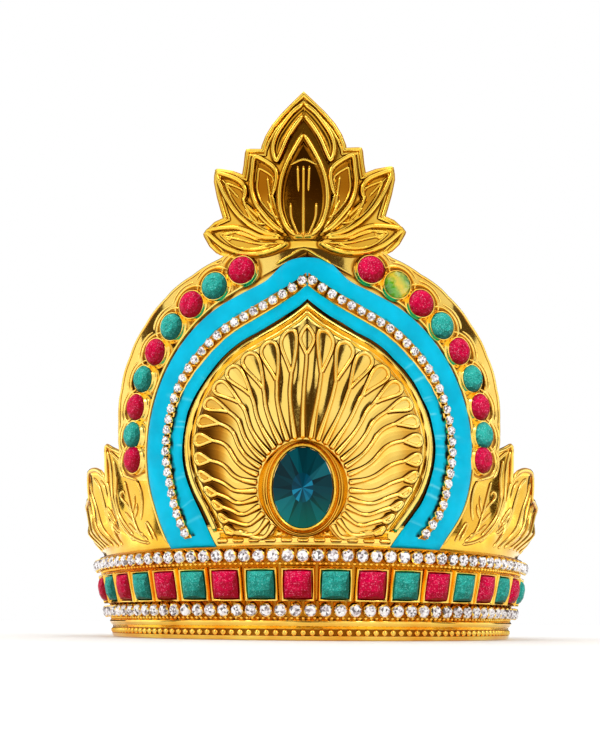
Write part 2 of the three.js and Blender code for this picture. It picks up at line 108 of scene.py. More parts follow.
def turn_forwards(mesh):
    """Turns an open sheet so that its faces look away from the ring's axis."""
    normal, centre = np.empty((2, len(mesh.polygons), 3), np.float32)
    mesh.polygons.foreach_get("normal", normal.ravel())
    mesh.polygons.foreach_get("center", centre.ravel())
    if np.sum(normal[:, :2] * (centre[:, :2] - (0, AXIS_Y * MM))) < 0:
        mesh.flip_normals()


def point_marks(**marks):
    """Marks for add_piece, with one value for each point of the mesh."""
    return {name: ("POINT", values) for name, values in marks.items()}


def face_marks(**marks):
    """Marks for add_piece, with one value for each face."""
    return {name: ("FACE", values) for name, values in marks.items()}


def add_piece(name, shape, finish, nodes, faceted=False, wall=0, marks=None):
    """Puts one piece on the crown. A sheet gets its wall from Solidify; marks are values for the material
    to read."""
    mesh = write_mesh(name, *shape)
    for label, (domain, values) in (marks or {}).items():
        layer = mesh.attributes.new(label, "FLOAT", domain)
        layer.data.foreach_set("value", values.astype(np.float32).ravel())
    if wall:
        turn_forwards(mesh)
    else:
        turn_outwards(mesh)
    if faceted:
        mesh.shade_flat()
    else:
        mesh.shade_smooth()
        mesh.set_sharp_from_angle(angle=SHARP)
    mesh.materials.append(finish)
    piece = bpy.data.objects.new(name, mesh)
    bpy.context.scene.collection.objects.link(piece)
    if wall:
        solid = piece.modifiers.new("wall", "SOLIDIFY")
        solid.thickness, solid.offset = wall * MM, -1
    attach(piece, "root")
    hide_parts(*nodes)
    print(name, len(mesh.vertices), "points", len(mesh.polygons), "faces")
    return piece


# %% [markdown]
# ## The surfaces that carry everything
# The band is a cone that opens upwards. The front plate stands inside the band and leans outwards a little
# less. A place on the plate is given by x, the distance to the side, by its height z, and by its lift above
# the sheet. The arch is the plate's main line: two straight flanks, two arcs and two straight legs.

# %% Cones
BAND_HEIGHT = 34.6
BAND_FOOT_RADIUS, BAND_FLARE = 89, 0.28
PLATE_FOOT_RADIUS, PLATE_FLARE = 86.9, 0.14


def band_radius(z):
    """Radius of the band's wall: 89 mm at the floor, and 0.28 mm more for each mm of height."""
    return BAND_FOOT_RADIUS + BAND_FLARE * z


def plate_radius(z):
    """The plate follows the band's inside up to the band's top, then opens by 0.14 mm for each mm."""
    below, above = np.minimum(z, BAND_HEIGHT), np.maximum(z - BAND_HEIGHT, 0)
    return PLATE_FOOT_RADIUS + BAND_FLARE * below + PLATE_FLARE * above


def on_ring(turn, z, radius):
    """A point at an angle from the front, a height and a radius about the ring's axis."""
    turn, z, radius = np.broadcast_arrays(turn, z, radius)
    return np.stack([radius * np.sin(turn), -radius * np.cos(turn), z], -1)


def on_plate(x, z, lift):
    """A point of the plate: the angle whose sine is x over the plate's radius, pushed out by the lift."""
    radius = plate_radius(z)
    return on_ring(np.arcsin(np.clip(x / radius, -1, 1)), z, radius + lift)


def seats_on_cone(turn, z, radius, flare):
    """Seats on a cone: out is square to the wall, along runs round the ring, and up follows the wall."""
    zero, one = np.zeros_like(turn), np.ones_like(turn)
    out = np.stack([np.sin(turn), -np.cos(turn), -flare * one], -1) / np.hypot(1, flare)
    along = np.stack([np.cos(turn), np.sin(turn), zero], -1)
    return on_ring(turn, z, radius), along, np.cross(out, along), out


def seats_on_plate(x, z, lift):
    """Seats on the plate at a distance to the side, a height, and a lift above the sheet."""
    radius = plate_radius(z)
    return seats_on_cone(np.arcsin(x / radius), z, radius + lift, PLATE_FLARE)


# %% The arch
ARCH_APEX_Z = 135
ARCH_X, ARCH_Z, ARCH_RADIUS = 4, 74, 53
LEG = np.radians(-32)
LEG_FOOT_Z = 33.8
ARCH_REACH = np.hypot(ARCH_X, ARCH_APEX_Z - ARCH_Z)
FLANK = np.arctan2(ARCH_Z - ARCH_APEX_Z, ARCH_X) + np.arcsin(ARCH_RADIUS / ARCH_REACH)
ARC_START = FLANK + np.pi / 2
FLANK_LENGTH = np.sqrt(ARCH_REACH**2 - ARCH_RADIUS**2)
ARC_LENGTH = ARCH_RADIUS * (ARC_START - LEG)
LEG_LENGTH = (ARCH_Z + ARCH_RADIUS * np.sin(LEG) - LEG_FOOT_Z) / np.cos(LEG)
HALF_ARCH = FLANK_LENGTH + ARC_LENGTH + LEG_LENGTH
SHOULDER_PULL, PULL_START, PULL_REACH = 2.9, 9, 8
PULL_FADE = (44, 96)
ARCH_SWAY, BORDER_SWAY = 1.5, 1.2


def ease(value, low, high):
    """A smooth step from 0 at low to 1 at high."""
    t = np.clip((value - low) / (high - low), 0, 1)
    return t * t * (3 - 2 * t)


def shoulder_pull(length):
    """How far the shoulders of the frame, the chain and the tape are drawn in, so that the flanks run
    straighter: it grows over the first 9 mm or so from the apex, and fades to nothing down the arc."""
    return SHOULDER_PULL * (1 - np.exp(-length / PULL_START)) * (1 - ease(length, *PULL_FADE))


def arch_point(length, distance):
    """Place (x, z) at a length from the apex along the arch's right half, a distance outside its middle
    line."""
    length, distance = np.broadcast_arrays(np.asarray(length, float), np.asarray(distance, float))
    distance = distance - shoulder_pull(length) * (1 - ease(distance, 0, PULL_REACH))
    radius = ARCH_RADIUS + distance
    share = np.clip(length / FLANK_LENGTH, 0, 1)
    along = length + distance * np.tan(FLANK) * (1 - share)
    flank_x = along * np.cos(FLANK) + distance * np.cos(ARC_START)
    flank_z = ARCH_APEX_Z + along * np.sin(FLANK) + distance * np.sin(ARC_START)
    turn = np.clip(ARC_START - (length - FLANK_LENGTH) / ARCH_RADIUS, LEG, ARC_START)
    arc_x, arc_z = ARCH_X + radius * np.cos(turn), ARCH_Z + radius * np.sin(turn)
    drop = np.clip((length - FLANK_LENGTH - ARC_LENGTH) / LEG_LENGTH, 0, 1) * (arc_z - LEG_FOOT_Z)
    on_flank = length < FLANK_LENGTH
    x = np.where(on_flank, flank_x, arc_x + drop * np.tan(LEG))
    return x, np.where(on_flank, flank_z, arc_z - drop)


def both_halves(length, distance):
    """The arch over its full run: negative lengths lie left of the apex, as the mirror image."""
    x, z = arch_point(np.abs(length), distance)
    return x * np.where(np.asarray(length) < 0, -1, 1), z


def bump_line(distance, width):
    """A raised line of unit height: a bell curve over the distance from it."""
    return np.exp(-((distance / width) ** 2))


def swayed(x, z):
    """The plate was pressed and trimmed by hand: above the band its arch stands 1.5 mm to the right."""
    return x + ARCH_SWAY * ease(z, 34, 52), z


def swayed_border(x, z, beside_tape=0):
    """The border follows the arch beside the tape. Its stones sway by 1.2 mm, in the middle and on the
    right."""
    stones_x = x + BORDER_SWAY * ease(z, 45, 85) * ease(x, -36, -18)
    return stones_x + beside_tape * (swayed(x, z)[0] - stones_x), z


print("half of the arch: %.1f mm" % HALF_ARCH)

# %% [markdown]
# ## The camera
# The photograph looks up a little from just above the floor. Its camera was worked out from the rows of the
# band: 420 mm from the ring's axis, 6 mm above the floor, pitched up by 16 degrees. Three turns set one
# after the other are easy to get in the wrong order, so the camera's own axes are worked out and go into
# its matrix in one step.

# %% Camera
CAMERA_DISTANCE, CAMERA_HEIGHT = 420, 6
CAMERA_SIDE, CAMERA_PAN, CAMERA_PITCH, CAMERA_ROLL = np.radians([1.6, 0.77, 16.2, 0.45])
FOCAL_PIXELS, FRAME_PIXELS, SENSOR = 856, 750, 36

heading = CAMERA_SIDE + CAMERA_PAN
forward = np.array([
    -np.sin(heading) * np.cos(CAMERA_PITCH), np.cos(heading) * np.cos(CAMERA_PITCH), np.sin(CAMERA_PITCH)
])
right = np.array([np.cos(heading), np.sin(heading), 0])
up = np.cross(right, forward)
rolled_right = right * np.cos(CAMERA_ROLL) + up * np.sin(CAMERA_ROLL)
rolled_up = up * np.cos(CAMERA_ROLL) - right * np.sin(CAMERA_ROLL)
camera_place = on_ring(CAMERA_SIDE, CAMERA_HEIGHT, CAMERA_DISTANCE) + (0, AXIS_Y, 0)

lens = bpy.data.cameras.new("photo_camera")
lens.sensor_width, lens.lens = SENSOR, FOCAL_PIXELS * SENSOR / FRAME_PIXELS
lens.clip_start, lens.clip_end = 0.01, 50
camera = bpy.data.objects.new("photo_camera", lens)
pose = np.eye(4)
pose[:3, :3] = np.stack([rolled_right, rolled_up, -forward], -1)
pose[:3, 3] = camera_place * MM
camera.matrix_world = Matrix(pose.tolist())
bpy.context.scene.collection.objects.link(camera)
bpy.context.scene.camera = camera
print("camera at", camera.location, "lens %.1f mm" % lens.lens)

# %% [markdown]
# ## Finishes
# A finish that several materials share is a node group: it reads the place on the object and puts out
# colours, roughness and height that change over the surface. The shader itself stays in each material.
# Nodes could be set up by hand in the Shader Editor; small functions make the same nodes and keep each
# finish to a few lines.

# %% Small helpers for nodes
COLOUR, NUMBER = "NodeSocketColor", "NodeSocketFloat"
WHITE = (1, 1, 1, 1)


def new_group(name, inputs, outputs):
    """An empty node group with named sockets, and its input and output nodes."""
    group = bpy.data.node_groups.new(name, "ShaderNodeTree")
    for label, value in inputs.items():
        kind = COLOUR if isinstance(value, tuple) else NUMBER
        group.interface.new_socket(label, in_out="INPUT", socket_type=kind).default_value = value
    for label, kind in outputs.items():
        group.interface.new_socket(label, in_out="OUTPUT", socket_type=kind)
    return group, group.nodes.new("NodeGroupInput"), group.nodes.new("NodeGroupOutput")


def set_inputs(tree, node, **values):
    """Sets inputs by name, or by number after an underscore; a value that is a socket is linked instead."""
    for key, value in values.items():
        socket = node.inputs[int(key[1:]) if key[0] == "_" else key.replace("_", " ")]
        if isinstance(value, bpy.types.NodeSocket):
            tree.links.new(value, socket)
        else:
            socket.default_value = value


def new_node(tree, kind, **values):
    """A node with its settings, and then its inputs, because a group node has none before it knows its
    group."""
    node = tree.nodes.new("ShaderNode" + kind)
    settings = [key for key in values if hasattr(node, key) and key not in node.inputs]
    for key in settings:
        setattr(node, key, values.pop(key))
    set_inputs(tree, node, **values)
    return node


def new_material(name, **values):
    """A material with a Principled shader whose plain numbers are set straight on its sockets."""
    material = bpy.data.materials.new(name)
    material.use_nodes = True
    shader = material.node_tree.nodes["Principled BSDF"]
    set_inputs(material.node_tree, shader, **values)
    return material, material.node_tree, shader


# %% Values and colours that change over a surface
def object_place(tree):
    """The place on the object."""
    return new_node(tree, "TexCoord").outputs["Object"]


def mark(tree, name):
    """The values that the mesh carries under a name."""
    return new_node(tree, "Attribute", attribute_name=name).outputs["Fac"]


def noise(tree, place, scale, detail=2):
    """Cloudy noise between 0 and 1; the scale counts clouds in each metre."""
    return new_node(tree, "TexNoise", Vector=place, Scale=scale, Detail=detail).outputs["Fac"]


def times(tree, first, second, plus=0):
    """The product of two values, and a third one added."""
    return new_node(tree, "Math", operation="MULTIPLY_ADD", _0=first, _1=second, _2=plus).outputs["Value"]


def map_range(tree, value, low=0, high=1, to_low=0, to_high=1):
    """The stretch from low to high laid on another stretch, and cut off at its ends."""
    node = new_node(tree, "MapRange", Value=value, From_Min=low, From_Max=high, To_Min=to_low, To_Max=to_high)
    return node.outputs["Result"]


def mix(tree, share, first, second, blend="MIX"):
    """Two colours mixed by a share; the second may also multiply the first or be added to it."""
    node = new_node(tree, "Mix", data_type="RGBA", blend_type=blend, _0=share, _6=first, _7=second)
    return node.outputs[2]


def ramp(tree, factor, *stops):
    """A colour ramp with stops (position, colour)."""
    node = new_node(tree, "ValToRGB", Fac=factor)
    while len(node.color_ramp.elements) < len(stops):
        node.color_ramp.elements.new(1)
    for element, (position, colour) in zip(node.color_ramp.elements, stops):
        element.position, element.color = position, (*colour, 1)
    return node.outputs["Color"]


# %% [markdown]
# ### Pressed gold
# The shell is thin metal, pressed and plated to a mirror. A press leaves the sheet slightly wavy, so
# reflections ripple, and plating leaves a faint change of tone and tiny scratches. Noise on Object
# coordinates gives all three. Shade is painted into the colour as well: the mesh marks the corners of the
# relief, the feet of raised lines and the hollows, and there the plating is darkened towards dark brown.

# %% Gold
TONE_CLOUDS, SPECK_CLOUDS, RIPPLE_CLOUDS = 55, 1400, 130
SCRATCH_CLOUDS = (260, 260, 3200)
gold_skin, skin_in, skin_out = new_group(
    "pressed_gold_skin",
    {"Bright": WHITE, "Deep": WHITE, "Smooth": 0.1, "Worn": 0.2, "Recess": 0.0},
    {"Colour": COLOUR, "Roughness": NUMBER, "Height": NUMBER},
)
place = object_place(gold_skin)
tone = map_range(gold_skin, noise(gold_skin, place, TONE_CLOUDS, 3), 0.35, 0.7)
plating = mix(gold_skin, tone, skin_in.outputs["Bright"], skin_in.outputs["Deep"])
# Painted shade: the marked places are darkened towards dark brown
painted_darkening = ramp(
    gold_skin, skin_in.outputs["Recess"],
    (0.0, (1, 1, 1)), (0.3, (0.72, 0.54, 0.3)), (0.6, (0.4, 0.22, 0.07)), (1.0, (0.07, 0.03, 0.01)),
)
shaded_plating = mix(gold_skin, 1, plating, painted_darkening, "MULTIPLY")
stretch = new_node(gold_skin, "Mapping", Vector=place, Scale=SCRATCH_CLOUDS).outputs["Vector"]
wear = times(gold_skin, noise(gold_skin, place, SPECK_CLOUDS), noise(gold_skin, stretch, 1))
rough = map_range(gold_skin, wear, 0.15, 0.5, skin_in.outputs["Smooth"], skin_in.outputs["Worn"])
ripple = noise(gold_skin, place, RIPPLE_CLOUDS, 1)
set_inputs(gold_skin, skin_out, Colour=shaded_plating, Roughness=rough, Height=ripple)


def gold_finish(name, bright, deep, smooth, worn, wave):
    """Gold for one kind of piece: metal, with the shared skin and a bump of its own strength."""
    material, tree, shader = new_material(name, Metallic=1)
    skin = new_node(
        tree, "Group", node_tree=gold_skin, Bright=(*bright, 1), Deep=(*deep, 1), Smooth=smooth, Worn=worn,
        Recess=mark(tree, "recess"),
    ).outputs
    bump = new_node(tree, "Bump", Height=skin["Height"], Strength=wave, Distance=MM).outputs["Normal"]
    set_inputs(tree, shader, Base_Color=skin["Colour"], Roughness=skin["Roughness"], Normal=bump)
    return material


# One plated gold in six colours, as painted light and shade: lighter on the relief, darker on collar and
# leaves
sheet_gold = gold_finish("sheet_gold", (0.92, 0.68, 0.17), (0.84, 0.53, 0.09), 0.06, 0.16, 0.07)
relief_gold = gold_finish("relief_gold", (1.0, 0.74, 0.19), (0.97, 0.62, 0.10), 0.07, 0.18, 0.05)
band_gold = gold_finish("band_gold", (1.0, 0.73, 0.15), (0.88, 0.43, 0.04), 0.08, 0.22, 0.2)
leaf_gold = gold_finish("leaf_gold", (0.84, 0.56, 0.08), (0.77, 0.41, 0.03), 0.08, 0.2, 0.12)
crest_gold = gold_finish("crest_gold", (0.93, 0.65, 0.1), (0.87, 0.53, 0.05), 0.07, 0.18, 0.06)
collar_gold = gold_finish("collar_gold", (0.85, 0.52, 0.07), (0.74, 0.41, 0.04), 0.1, 0.2, 0.06)
print("gold finishes:", [material.name for material in bpy.data.materials])

# %% [markdown]
# ### Glitter stones
# The coloured stones are cast resin with glitter inside and a clear skin on top. Each flake is one cell of a
# Voronoi pattern with a shade of its own; few of them are bright. The clear skin is the shader's coat.

# %% Glitter
CLOUDS_IN_RESIN, FLAKE_WEIGHT = 420, 0.7
glitter, glitter_in, glitter_out = new_group(
    "glitter_in_resin",
    {"Deep": (0, 0, 0, 1), "Light": WHITE, "Fleck": WHITE, "Flake Size": 2200, "Rise": 0.5},
    {"Colour": COLOUR, "Roughness": NUMBER},
)
given = glitter_in.outputs
place = object_place(glitter)
cells = new_node(glitter, "TexVoronoi", Vector=place, Scale=given["Flake Size"]).outputs["Color"]
flake = new_node(glitter, "SeparateColor", Color=cells).outputs
shade = times(glitter, flake["Red"], FLAKE_WEIGHT, plus=noise(glitter, place, CLOUDS_IN_RESIN))
# Painted light: the mark makes the resin and its flecks paler on high facets and those facing the light
shade = map_range(glitter, times(glitter, shade, given["Rise"]), 0.1, 1.05)
resin = mix(glitter, shade, given["Deep"], given["Light"])
bright = times(glitter, map_range(glitter, flake["Green"], 0.87, 1.05), given["Rise"])
flecked = mix(glitter, bright, resin, given["Fleck"])
matt = map_range(glitter, flake["Blue"], to_low=0.25, to_high=0.6)
set_inputs(glitter, glitter_out, Colour=flecked, Roughness=matt)


def stone_finish(name, deep, light, fleck, flake_size):
    """A glitter stone under a clear coat, paler at its top by painted light from its mark "rise"."""
    material, tree, shader = new_material(
        name, Coat_Weight=0.12, Coat_Roughness=0.02, Specular_IOR_Level=0.02
    )
    grains = new_node(
        tree, "Group", node_tree=glitter, Deep=(*deep, 1), Light=(*light, 1), Fleck=(*fleck, 1),
        Flake_Size=flake_size, Rise=mark(tree, "rise"),
    ).outputs
    set_inputs(tree, shader, Base_Color=grains["Colour"], Roughness=grains["Roughness"])
    return material


red_glitter = stone_finish("red_glitter", (0.24, 0.0, 0.004), (0.80, 0.002, 0.075), (1.0, 0.32, 0.52), 3400)
green_glitter = stone_finish(
    "green_glitter", (0.005, 0.08, 0.055), (0.03, 0.48, 0.41), (0.25, 0.88, 0.83), 3400
)

# %% [markdown]
# ### Clear and cut stones
# The one translucent stone is yellow through its middle and green at both sides, like a cat's eye. Clear
# cut glass with foil behind it is the finish of the small chain stones: foil sends light back by facets.
# Real glass would need many bounces of light to do that, so each facet has a shade of its own, which the
# mesh carries as a mark.

# %% Cat's eye and foiled glass
cats_eye, tree, shader = new_material("pale_green_resin", Coat_Weight=1, Coat_Roughness=0.03, Roughness=0.2)
wander = times(tree, noise(tree, object_place(tree), 500), 0.3, plus=mark(tree, "across"))
eye = ramp(
    tree, wander, (0.1, (0.01, 0.13, 0.005)), (0.4, (0.10, 0.40, 0.01)), (0.62, (0.75, 0.55, 0.02)),
    (0.8, (0.40, 0.48, 0.03)), (1.0, (0.04, 0.28, 0.05)),
)
set_inputs(tree, shader, Base_Color=eye)

rhinestone, tree, shader = new_material("foiled_glass", Coat_Weight=1, Coat_Roughness=0.02, IOR=1.6)
facet = mark(tree, "facet")
# Painted reflection of the foil: each facet's shade runs from dark to white
foil = ramp(
    tree, facet, (0.0, (0.07, 0.05, 0.05)), (0.16, (0.24, 0.19, 0.20)), (0.36, (0.60, 0.53, 0.57)),
    (0.6, (0.9, 0.87, 0.9)), (1.0, (1, 1, 1)),
)
set_inputs(tree, shader, Base_Color=foil, Roughness=map_range(tree, facet, to_low=0.08, to_high=0.3))

# %% Teal glass
teal_glass, tree, shader = new_material(
    "teal_glass", Coat_Weight=0.1, Coat_Roughness=0.01, Roughness=0.2, Specular_IOR_Level=0.05
)
facet = mark(tree, "facet")
# Painted reflection: random tones on the facets, and a brighter blue middle where the back facets would
# mirror
rim = ramp(tree, facet, (0.0, (0.0, 0.014, 0.020)), (0.5, (0.0, 0.05, 0.066)), (1.0, (0.004, 0.12, 0.15)))
heart = ramp(tree, facet, (0.0, (0.0, 0.03, 0.05)), (0.55, (0.0, 0.08, 0.15)), (1.0, (0.01, 0.25, 0.42)))
glass = mix(tree, map_range(tree, mark(tree, "reach"), 0.42, 0.34), rim, heart)
low = map_range(tree, mark(tree, "fall"), 0.55, 1.0)
set_inputs(tree, shader, Base_Color=mix(tree, low, glass, (0.0, 0.07, 0.035, 1), "ADD"))

# %% [markdown]
# ### Turquoise tape
# The tape is glossy and self-adhesive. Bent round a curve it gathers into fine creases on the inside of the
# bend, which catch the light, and a painted highlight pales them as well. Beside the chain a dark line is
# painted: partly its adhesive, partly shadow. The mesh marks both places.

# %% Tape skin
tape_skin, tree, shader = new_material(
    "turquoise_tape", Coat_Weight=0.06, Coat_Roughness=0.1, Roughness=0.4, Specular_IOR_Level=0.05
)
place = object_place(tree)
cloud = noise(tree, place, 90, 3)
blue = ramp(tree, cloud, (0.3, (0.0, 0.43, 0.66)), (0.55, (0.0, 0.52, 0.78)), (0.75, (0.0, 0.58, 0.87)))
# Painted highlight: the creases are paled towards light cyan
pale = mix(tree, mark(tree, "crease"), blue, (0.22, 0.88, 1.0, 1))
# A dark line beside the chain: partly adhesive, partly painted shadow
glue_shadow_stain = times(tree, mark(tree, "glue"), noise(tree, place, 320))
dark = mix(tree, map_range(tree, glue_shadow_stain, 0.22, 0.42), pale, (0.004, 0.012, 0.01, 1))
grain = new_node(tree, "Bump", Height=noise(tree, place, 900), Strength=0.08, Distance=0.5 * MM)
set_inputs(tree, shader, Base_Color=dark, Normal=grain.outputs["Normal"])
print("finishes:", [material.name for material in bpy.data.materials])

# %% [markdown]
# ## The base band
# The band is a ring of rolled strip. From the floor up it has a rounded foot, a row of beads, a plain
# moulding with small beads on it, a flat wall for the stones and the chains, a fine bead line and a rolled
# top. Spin could turn it from an edge drawn by hand; a profile of height and proudness carried round the
# ring does the same, and keeps every moulding as numbers in a table. The beads are small domes copied round
# it.

# %% Ring
BAND_WALL = 1.8
RING_COLUMNS = 240
RING_PROFILE = np.array([
    (0, 0.3), (0.25, 1.15), (0.9, 1.6), (1.6, 1.45), (1.9, 0.7), (2.9, 0.45), (3.9, 0.7), (4.3, 0.9),
    (4.7, 0.5), (5.1, 1.0), (5.7, 1.45), (6.6, 1.45), (7.2, 1.0), (7.7, 0.3), (8.2, 0.0), (13.4, 0.0),
    (14.0, 0.3), (14.6, 0.0), (26.4, 0.0), (26.8, 0.35), (28.4, 0.35), (28.8, 0.0), (32.4, 0.0),
    (32.7, 0.3), (33.1, 0.45), (33.5, 0.3), (33.6, 0.0), (33.6, -BAND_WALL + 0.3), (33.3, -BAND_WALL),
    (0.3, -BAND_WALL), (0, -BAND_WALL + 0.3),
])


def ring_wall(profile, columns):
    """Each profile point, as height and proudness of the wall, carried once round the ring."""
    turn = np.linspace(0, 2 * np.pi, columns, endpoint=False)[:, None]
    z, proud = profile.T
    points = on_ring(turn, z, band_radius(z) + proud).reshape(-1, 3)
    return points, grid_quads(columns, len(profile), True, True)


# Painted shade by height on the ring: darkest in the foot's groove and round the lower chain, less above
RING_SHADE = np.array([
    (1.7, 0), (1.9, 0.75), (3.9, 0.75), (4.2, 0), (7.4, 0), (8.0, 0.6), (8.8, 0.75), (13.2, 0.75),
    (13.6, 0.4), (25.8, 0.4), (26.6, 0.5), (28.6, 0.6), (29.4, 0.5),
])
height, proud = RING_PROFILE.T
groove = np.interp(height, *RING_SHADE.T) * (proud > -1)
marks = point_marks(recess=np.tile(groove, RING_COLUMNS))
add_piece("band_ring", ring_wall(RING_PROFILE, RING_COLUMNS), band_gold, ["base_band"], marks=marks)

# %% Bead rows, with height, radius, count and proudness
BEAD_ROWS = {
    "foot_beads": (2.9, 1.4, 166, 0.3),
    "low_beads": (8.1, 0.7, 270, 0.1),
    "fine_beads": (27.5, 0.8, 286, 0.25),
}
DOME_FOOT, DOME_ROWS, DOME_COLUMNS = -0.5, 4, 8


def small_dome(radius):
    """A dome: rings of a sphere from just below its middle up to the pole."""
    rise = np.linspace(DOME_FOOT, np.pi / 2, DOME_ROWS)[:, None]
    turn = np.linspace(0, 2 * np.pi, DOME_COLUMNS, endpoint=False)
    points = on_ring(turn, np.sin(rise), np.cos(rise)).reshape(-1, 3) * radius
    return points, grid_quads(DOME_ROWS, DOME_COLUMNS, wrap_columns=True)


for name, (z, radius, count, proud) in BEAD_ROWS.items():
    turn = np.linspace(0, 2 * np.pi, count, endpoint=False)
    seats = seats_on_cone(turn, z, band_radius(z) + proud, BAND_FLARE)
    add_piece(name, stamp(*small_dome(radius), seats), band_gold, ["base_band"])

# %% [markdown]
# ## Collets and square stones
# Each square stone lies in a raised gold frame, a collet. A square ring is a round one pushed out until its
# corners fill: each point is divided by the larger of its two cosines. The same cut makes the stones: rings
# of points that shrink as they rise, each turned by half a step, give flat three-cornered facets.

# %% Facets
def ring_points(sides, radius, half_step, squareness):
    """Points round a ring, pushed out towards a square by the given share."""
    turn = 2 * np.pi * (np.arange(sides) + half_step / 2) / sides
    c, s = np.cos(turn), np.sin(turn)
    push = radius / np.maximum(np.abs(c), np.abs(s)) ** squareness
    return np.stack([c * push, s * push], -1)


def cut_stone(rings, sides, squareness=0.0, scale=(1, 1)):
    """A closed stone from rings (radius, height, half step), with a middle point under the first and over
    the last."""
    layers = [np.c_[ring_points(sides, r, h, squareness) * scale, np.full(sides, z)] for r, z, h in rings]
    points = np.concatenate([*layers, [[0, 0, rings[0][1]]], [[0, 0, rings[-1][1]]]])
    here = np.arange(sides)
    following = (here + 1) % sides
    faces = [np.stack([following, here, np.full(sides, len(points) - 2)], -1)]
    for level, (lower, upper) in enumerate(zip(rings[:-1], rings[1:])):
        a, b = level * sides, (level + 1) * sides
        if lower[2] <= upper[2]:
            faces += [np.stack([a + here, a + following, b + here], -1)]
            faces += [np.stack([a + following, b + following, b + here], -1)]
        else:
            faces += [np.stack([a + here, a + following, b + following], -1)]
            faces += [np.stack([a + here, b + following, b + here], -1)]
    top = (len(rings) - 1) * sides
    faces += [np.stack([top + here, top + following, np.full(sides, len(points) - 1)], -1)]
    return points, np.concatenate(faces)


# %% Collets
SQUARE_COUNT, SQUARE_Z = 18, 20.4
SQUARE_PITCH, SQUARE_FIRST = np.radians([8.19, -66.6])
COLLET_SIDES = 16
COLLET_PROFILE = [
    (5.0, 0.2), (5.2, 0.9), (5.3, 2.0), (5.55, 2.5), (5.9, 2.6), (6.15, 2.3), (6.2, 1.6), (6.35, 1.2),
    (6.45, -0.3),
]


def moulded_ring(profile, sides, squareness):
    """A closed moulding: each profile point, as half width and height, carried round a circle or a square."""
    loops = [
        np.c_[ring_points(sides, half, 0, squareness), np.full(sides, height)] for half, height in profile
    ]
    return np.concatenate(loops), grid_quads(len(profile), sides, True, True)


square_turn = SQUARE_FIRST + SQUARE_PITCH * np.arange(SQUARE_COUNT)
square_seats = seats_on_cone(square_turn, SQUARE_Z, band_radius(SQUARE_Z), BAND_FLARE)
collet = moulded_ring(COLLET_PROFILE, COLLET_SIDES, 1)
add_piece("collets", stamp(*collet, square_seats), band_gold, ["base_band"])

# %% Square stones
SQUARE_RINGS = [(5.0, 1.1, 0), (5.0, 2.5, 0), (3.7, 3.8, 1), (1.7, 4.45, 0)]
SQUARE_SIDES, SQUARENESS, SQUARE_DEPTH = 8, 0.93, 0.9
FACET_SHADE, LIGHT_ON_HIGH_FACETS, SHADE_RANGE = 0.33, 0.4, (0.15, 1.1)
LIGHT_FROM_UPPER_LEFT = (-0.45, 0.75, 0)
GLITTER = {"red": red_glitter, "green": green_glitter}


def facet_light_marks(shape, copies, depth):
    """The mark "rise" of a facet, as painted light: more the higher it lies, and more the further it leans to
    the upper left, where the light comes from."""
    points, faces = shape
    a, b, c = (points[faces[:, k]] for k in range(3))
    normal = np.cross(b - a, c - a)
    normal = normal / np.linalg.norm(normal, axis=1, keepdims=True)
    height = (points[faces].mean(1)[:, 2] - points[0, 2]) / np.ptp(points[:, 2])
    share = FACET_SHADE + LIGHT_ON_HIGH_FACETS * np.clip(height, 0, 1) + normal @ LIGHT_FROM_UPPER_LEFT
    return face_marks(rise=np.tile(np.clip(share, *SHADE_RANGE) * depth, copies))


def add_stones(name, cut, seats, chosen, colour, nodes, depth):
    """The chosen copies of one cut stone in one colour, as one piece."""
    shape = stamp(*cut, [axis[chosen] for axis in seats])
    marks = facet_light_marks(cut, len(chosen), depth)
    add_piece(name + colour, shape, GLITTER[colour], nodes, faceted=True, marks=marks)


square_cut = cut_stone(SQUARE_RINGS, SQUARE_SIDES, SQUARENESS)
for first, colour in enumerate(GLITTER):
    chosen = np.arange(first, SQUARE_COUNT, 2)
    nodes = ["square_stone_%d" % (k + 1) for k in chosen]
    add_stones("square_stones_", square_cut, square_seats, chosen, colour, nodes, SQUARE_DEPTH)

# %% [markdown]
# ## Rhinestone chains
# A cup chain is a row of small gold cups on a strip, each with four claws over a cut clear stone. One cup
# and one stone of a few dozen faces are copied along the chain's line. Each facet gets a seeded shade, as
# foil would give.

# %% Cups and stones of a chain
GLINT = np.random.default_rng(12)
GLINT_SPREAD = (0.8, 0.75)
CHAIN_SIDES = 8
CUP_LEVELS = [
    (0.55, 0.0, 0.55, 0.0), (0.9, 0.02, 0.9, 0.02), (1.03, 0.55, 1.05, 0.9), (0.96, 0.58, 0.84, 1.1),
    (0.5, 0.3, 0.5, 0.3),
]
CHAIN_STONE_RINGS = [(0.6, 0.35, 0), (0.96, 0.7, 0), (0.8, 1.08, 1), (0.5, 1.28, 0)]


def cup(radius):
    """An open cup: rings from its floor to its lip, where every second point stands up as a claw and leans
    in. A level gives the radius and height of its low points and of its claws, as shares of the cup's
    radius."""
    claw = np.arange(CHAIN_SIDES) % 2 == 0
    rings = []
    for low_r, low_z, claw_r, claw_z in CUP_LEVELS:
        ring = ring_points(CHAIN_SIDES, 1, 1, 0) * np.where(claw, claw_r, low_r)[:, None]
        rings.append(np.c_[ring, np.where(claw, claw_z, low_z)] * radius)
    return np.concatenate(rings), grid_quads(len(rings), CHAIN_SIDES, wrap_columns=True)


def chain_stone(radius):
    """A cut stone: girdle, a ring turned by half a step, and a table."""
    return cut_stone([(r * radius, z * radius, h) for r, z, h in CHAIN_STONE_RINGS], CHAIN_SIDES)


def add_chain(name, seats, radius):
    """The cups and the stones of one chain, as two pieces on the node of that name."""
    cup_shape, stone_shape = stamp(*cup(radius), seats), stamp(*chain_stone(radius), seats)
    add_piece(name + "_cups", cup_shape, relief_gold, [name])
    shades = GLINT.beta(*GLINT_SPREAD, len(stone_shape[1]))
    add_piece(
        name + "_stones", stone_shape, rhinestone, [name], faceted=True,
        marks=face_marks(facet=shades),
    )


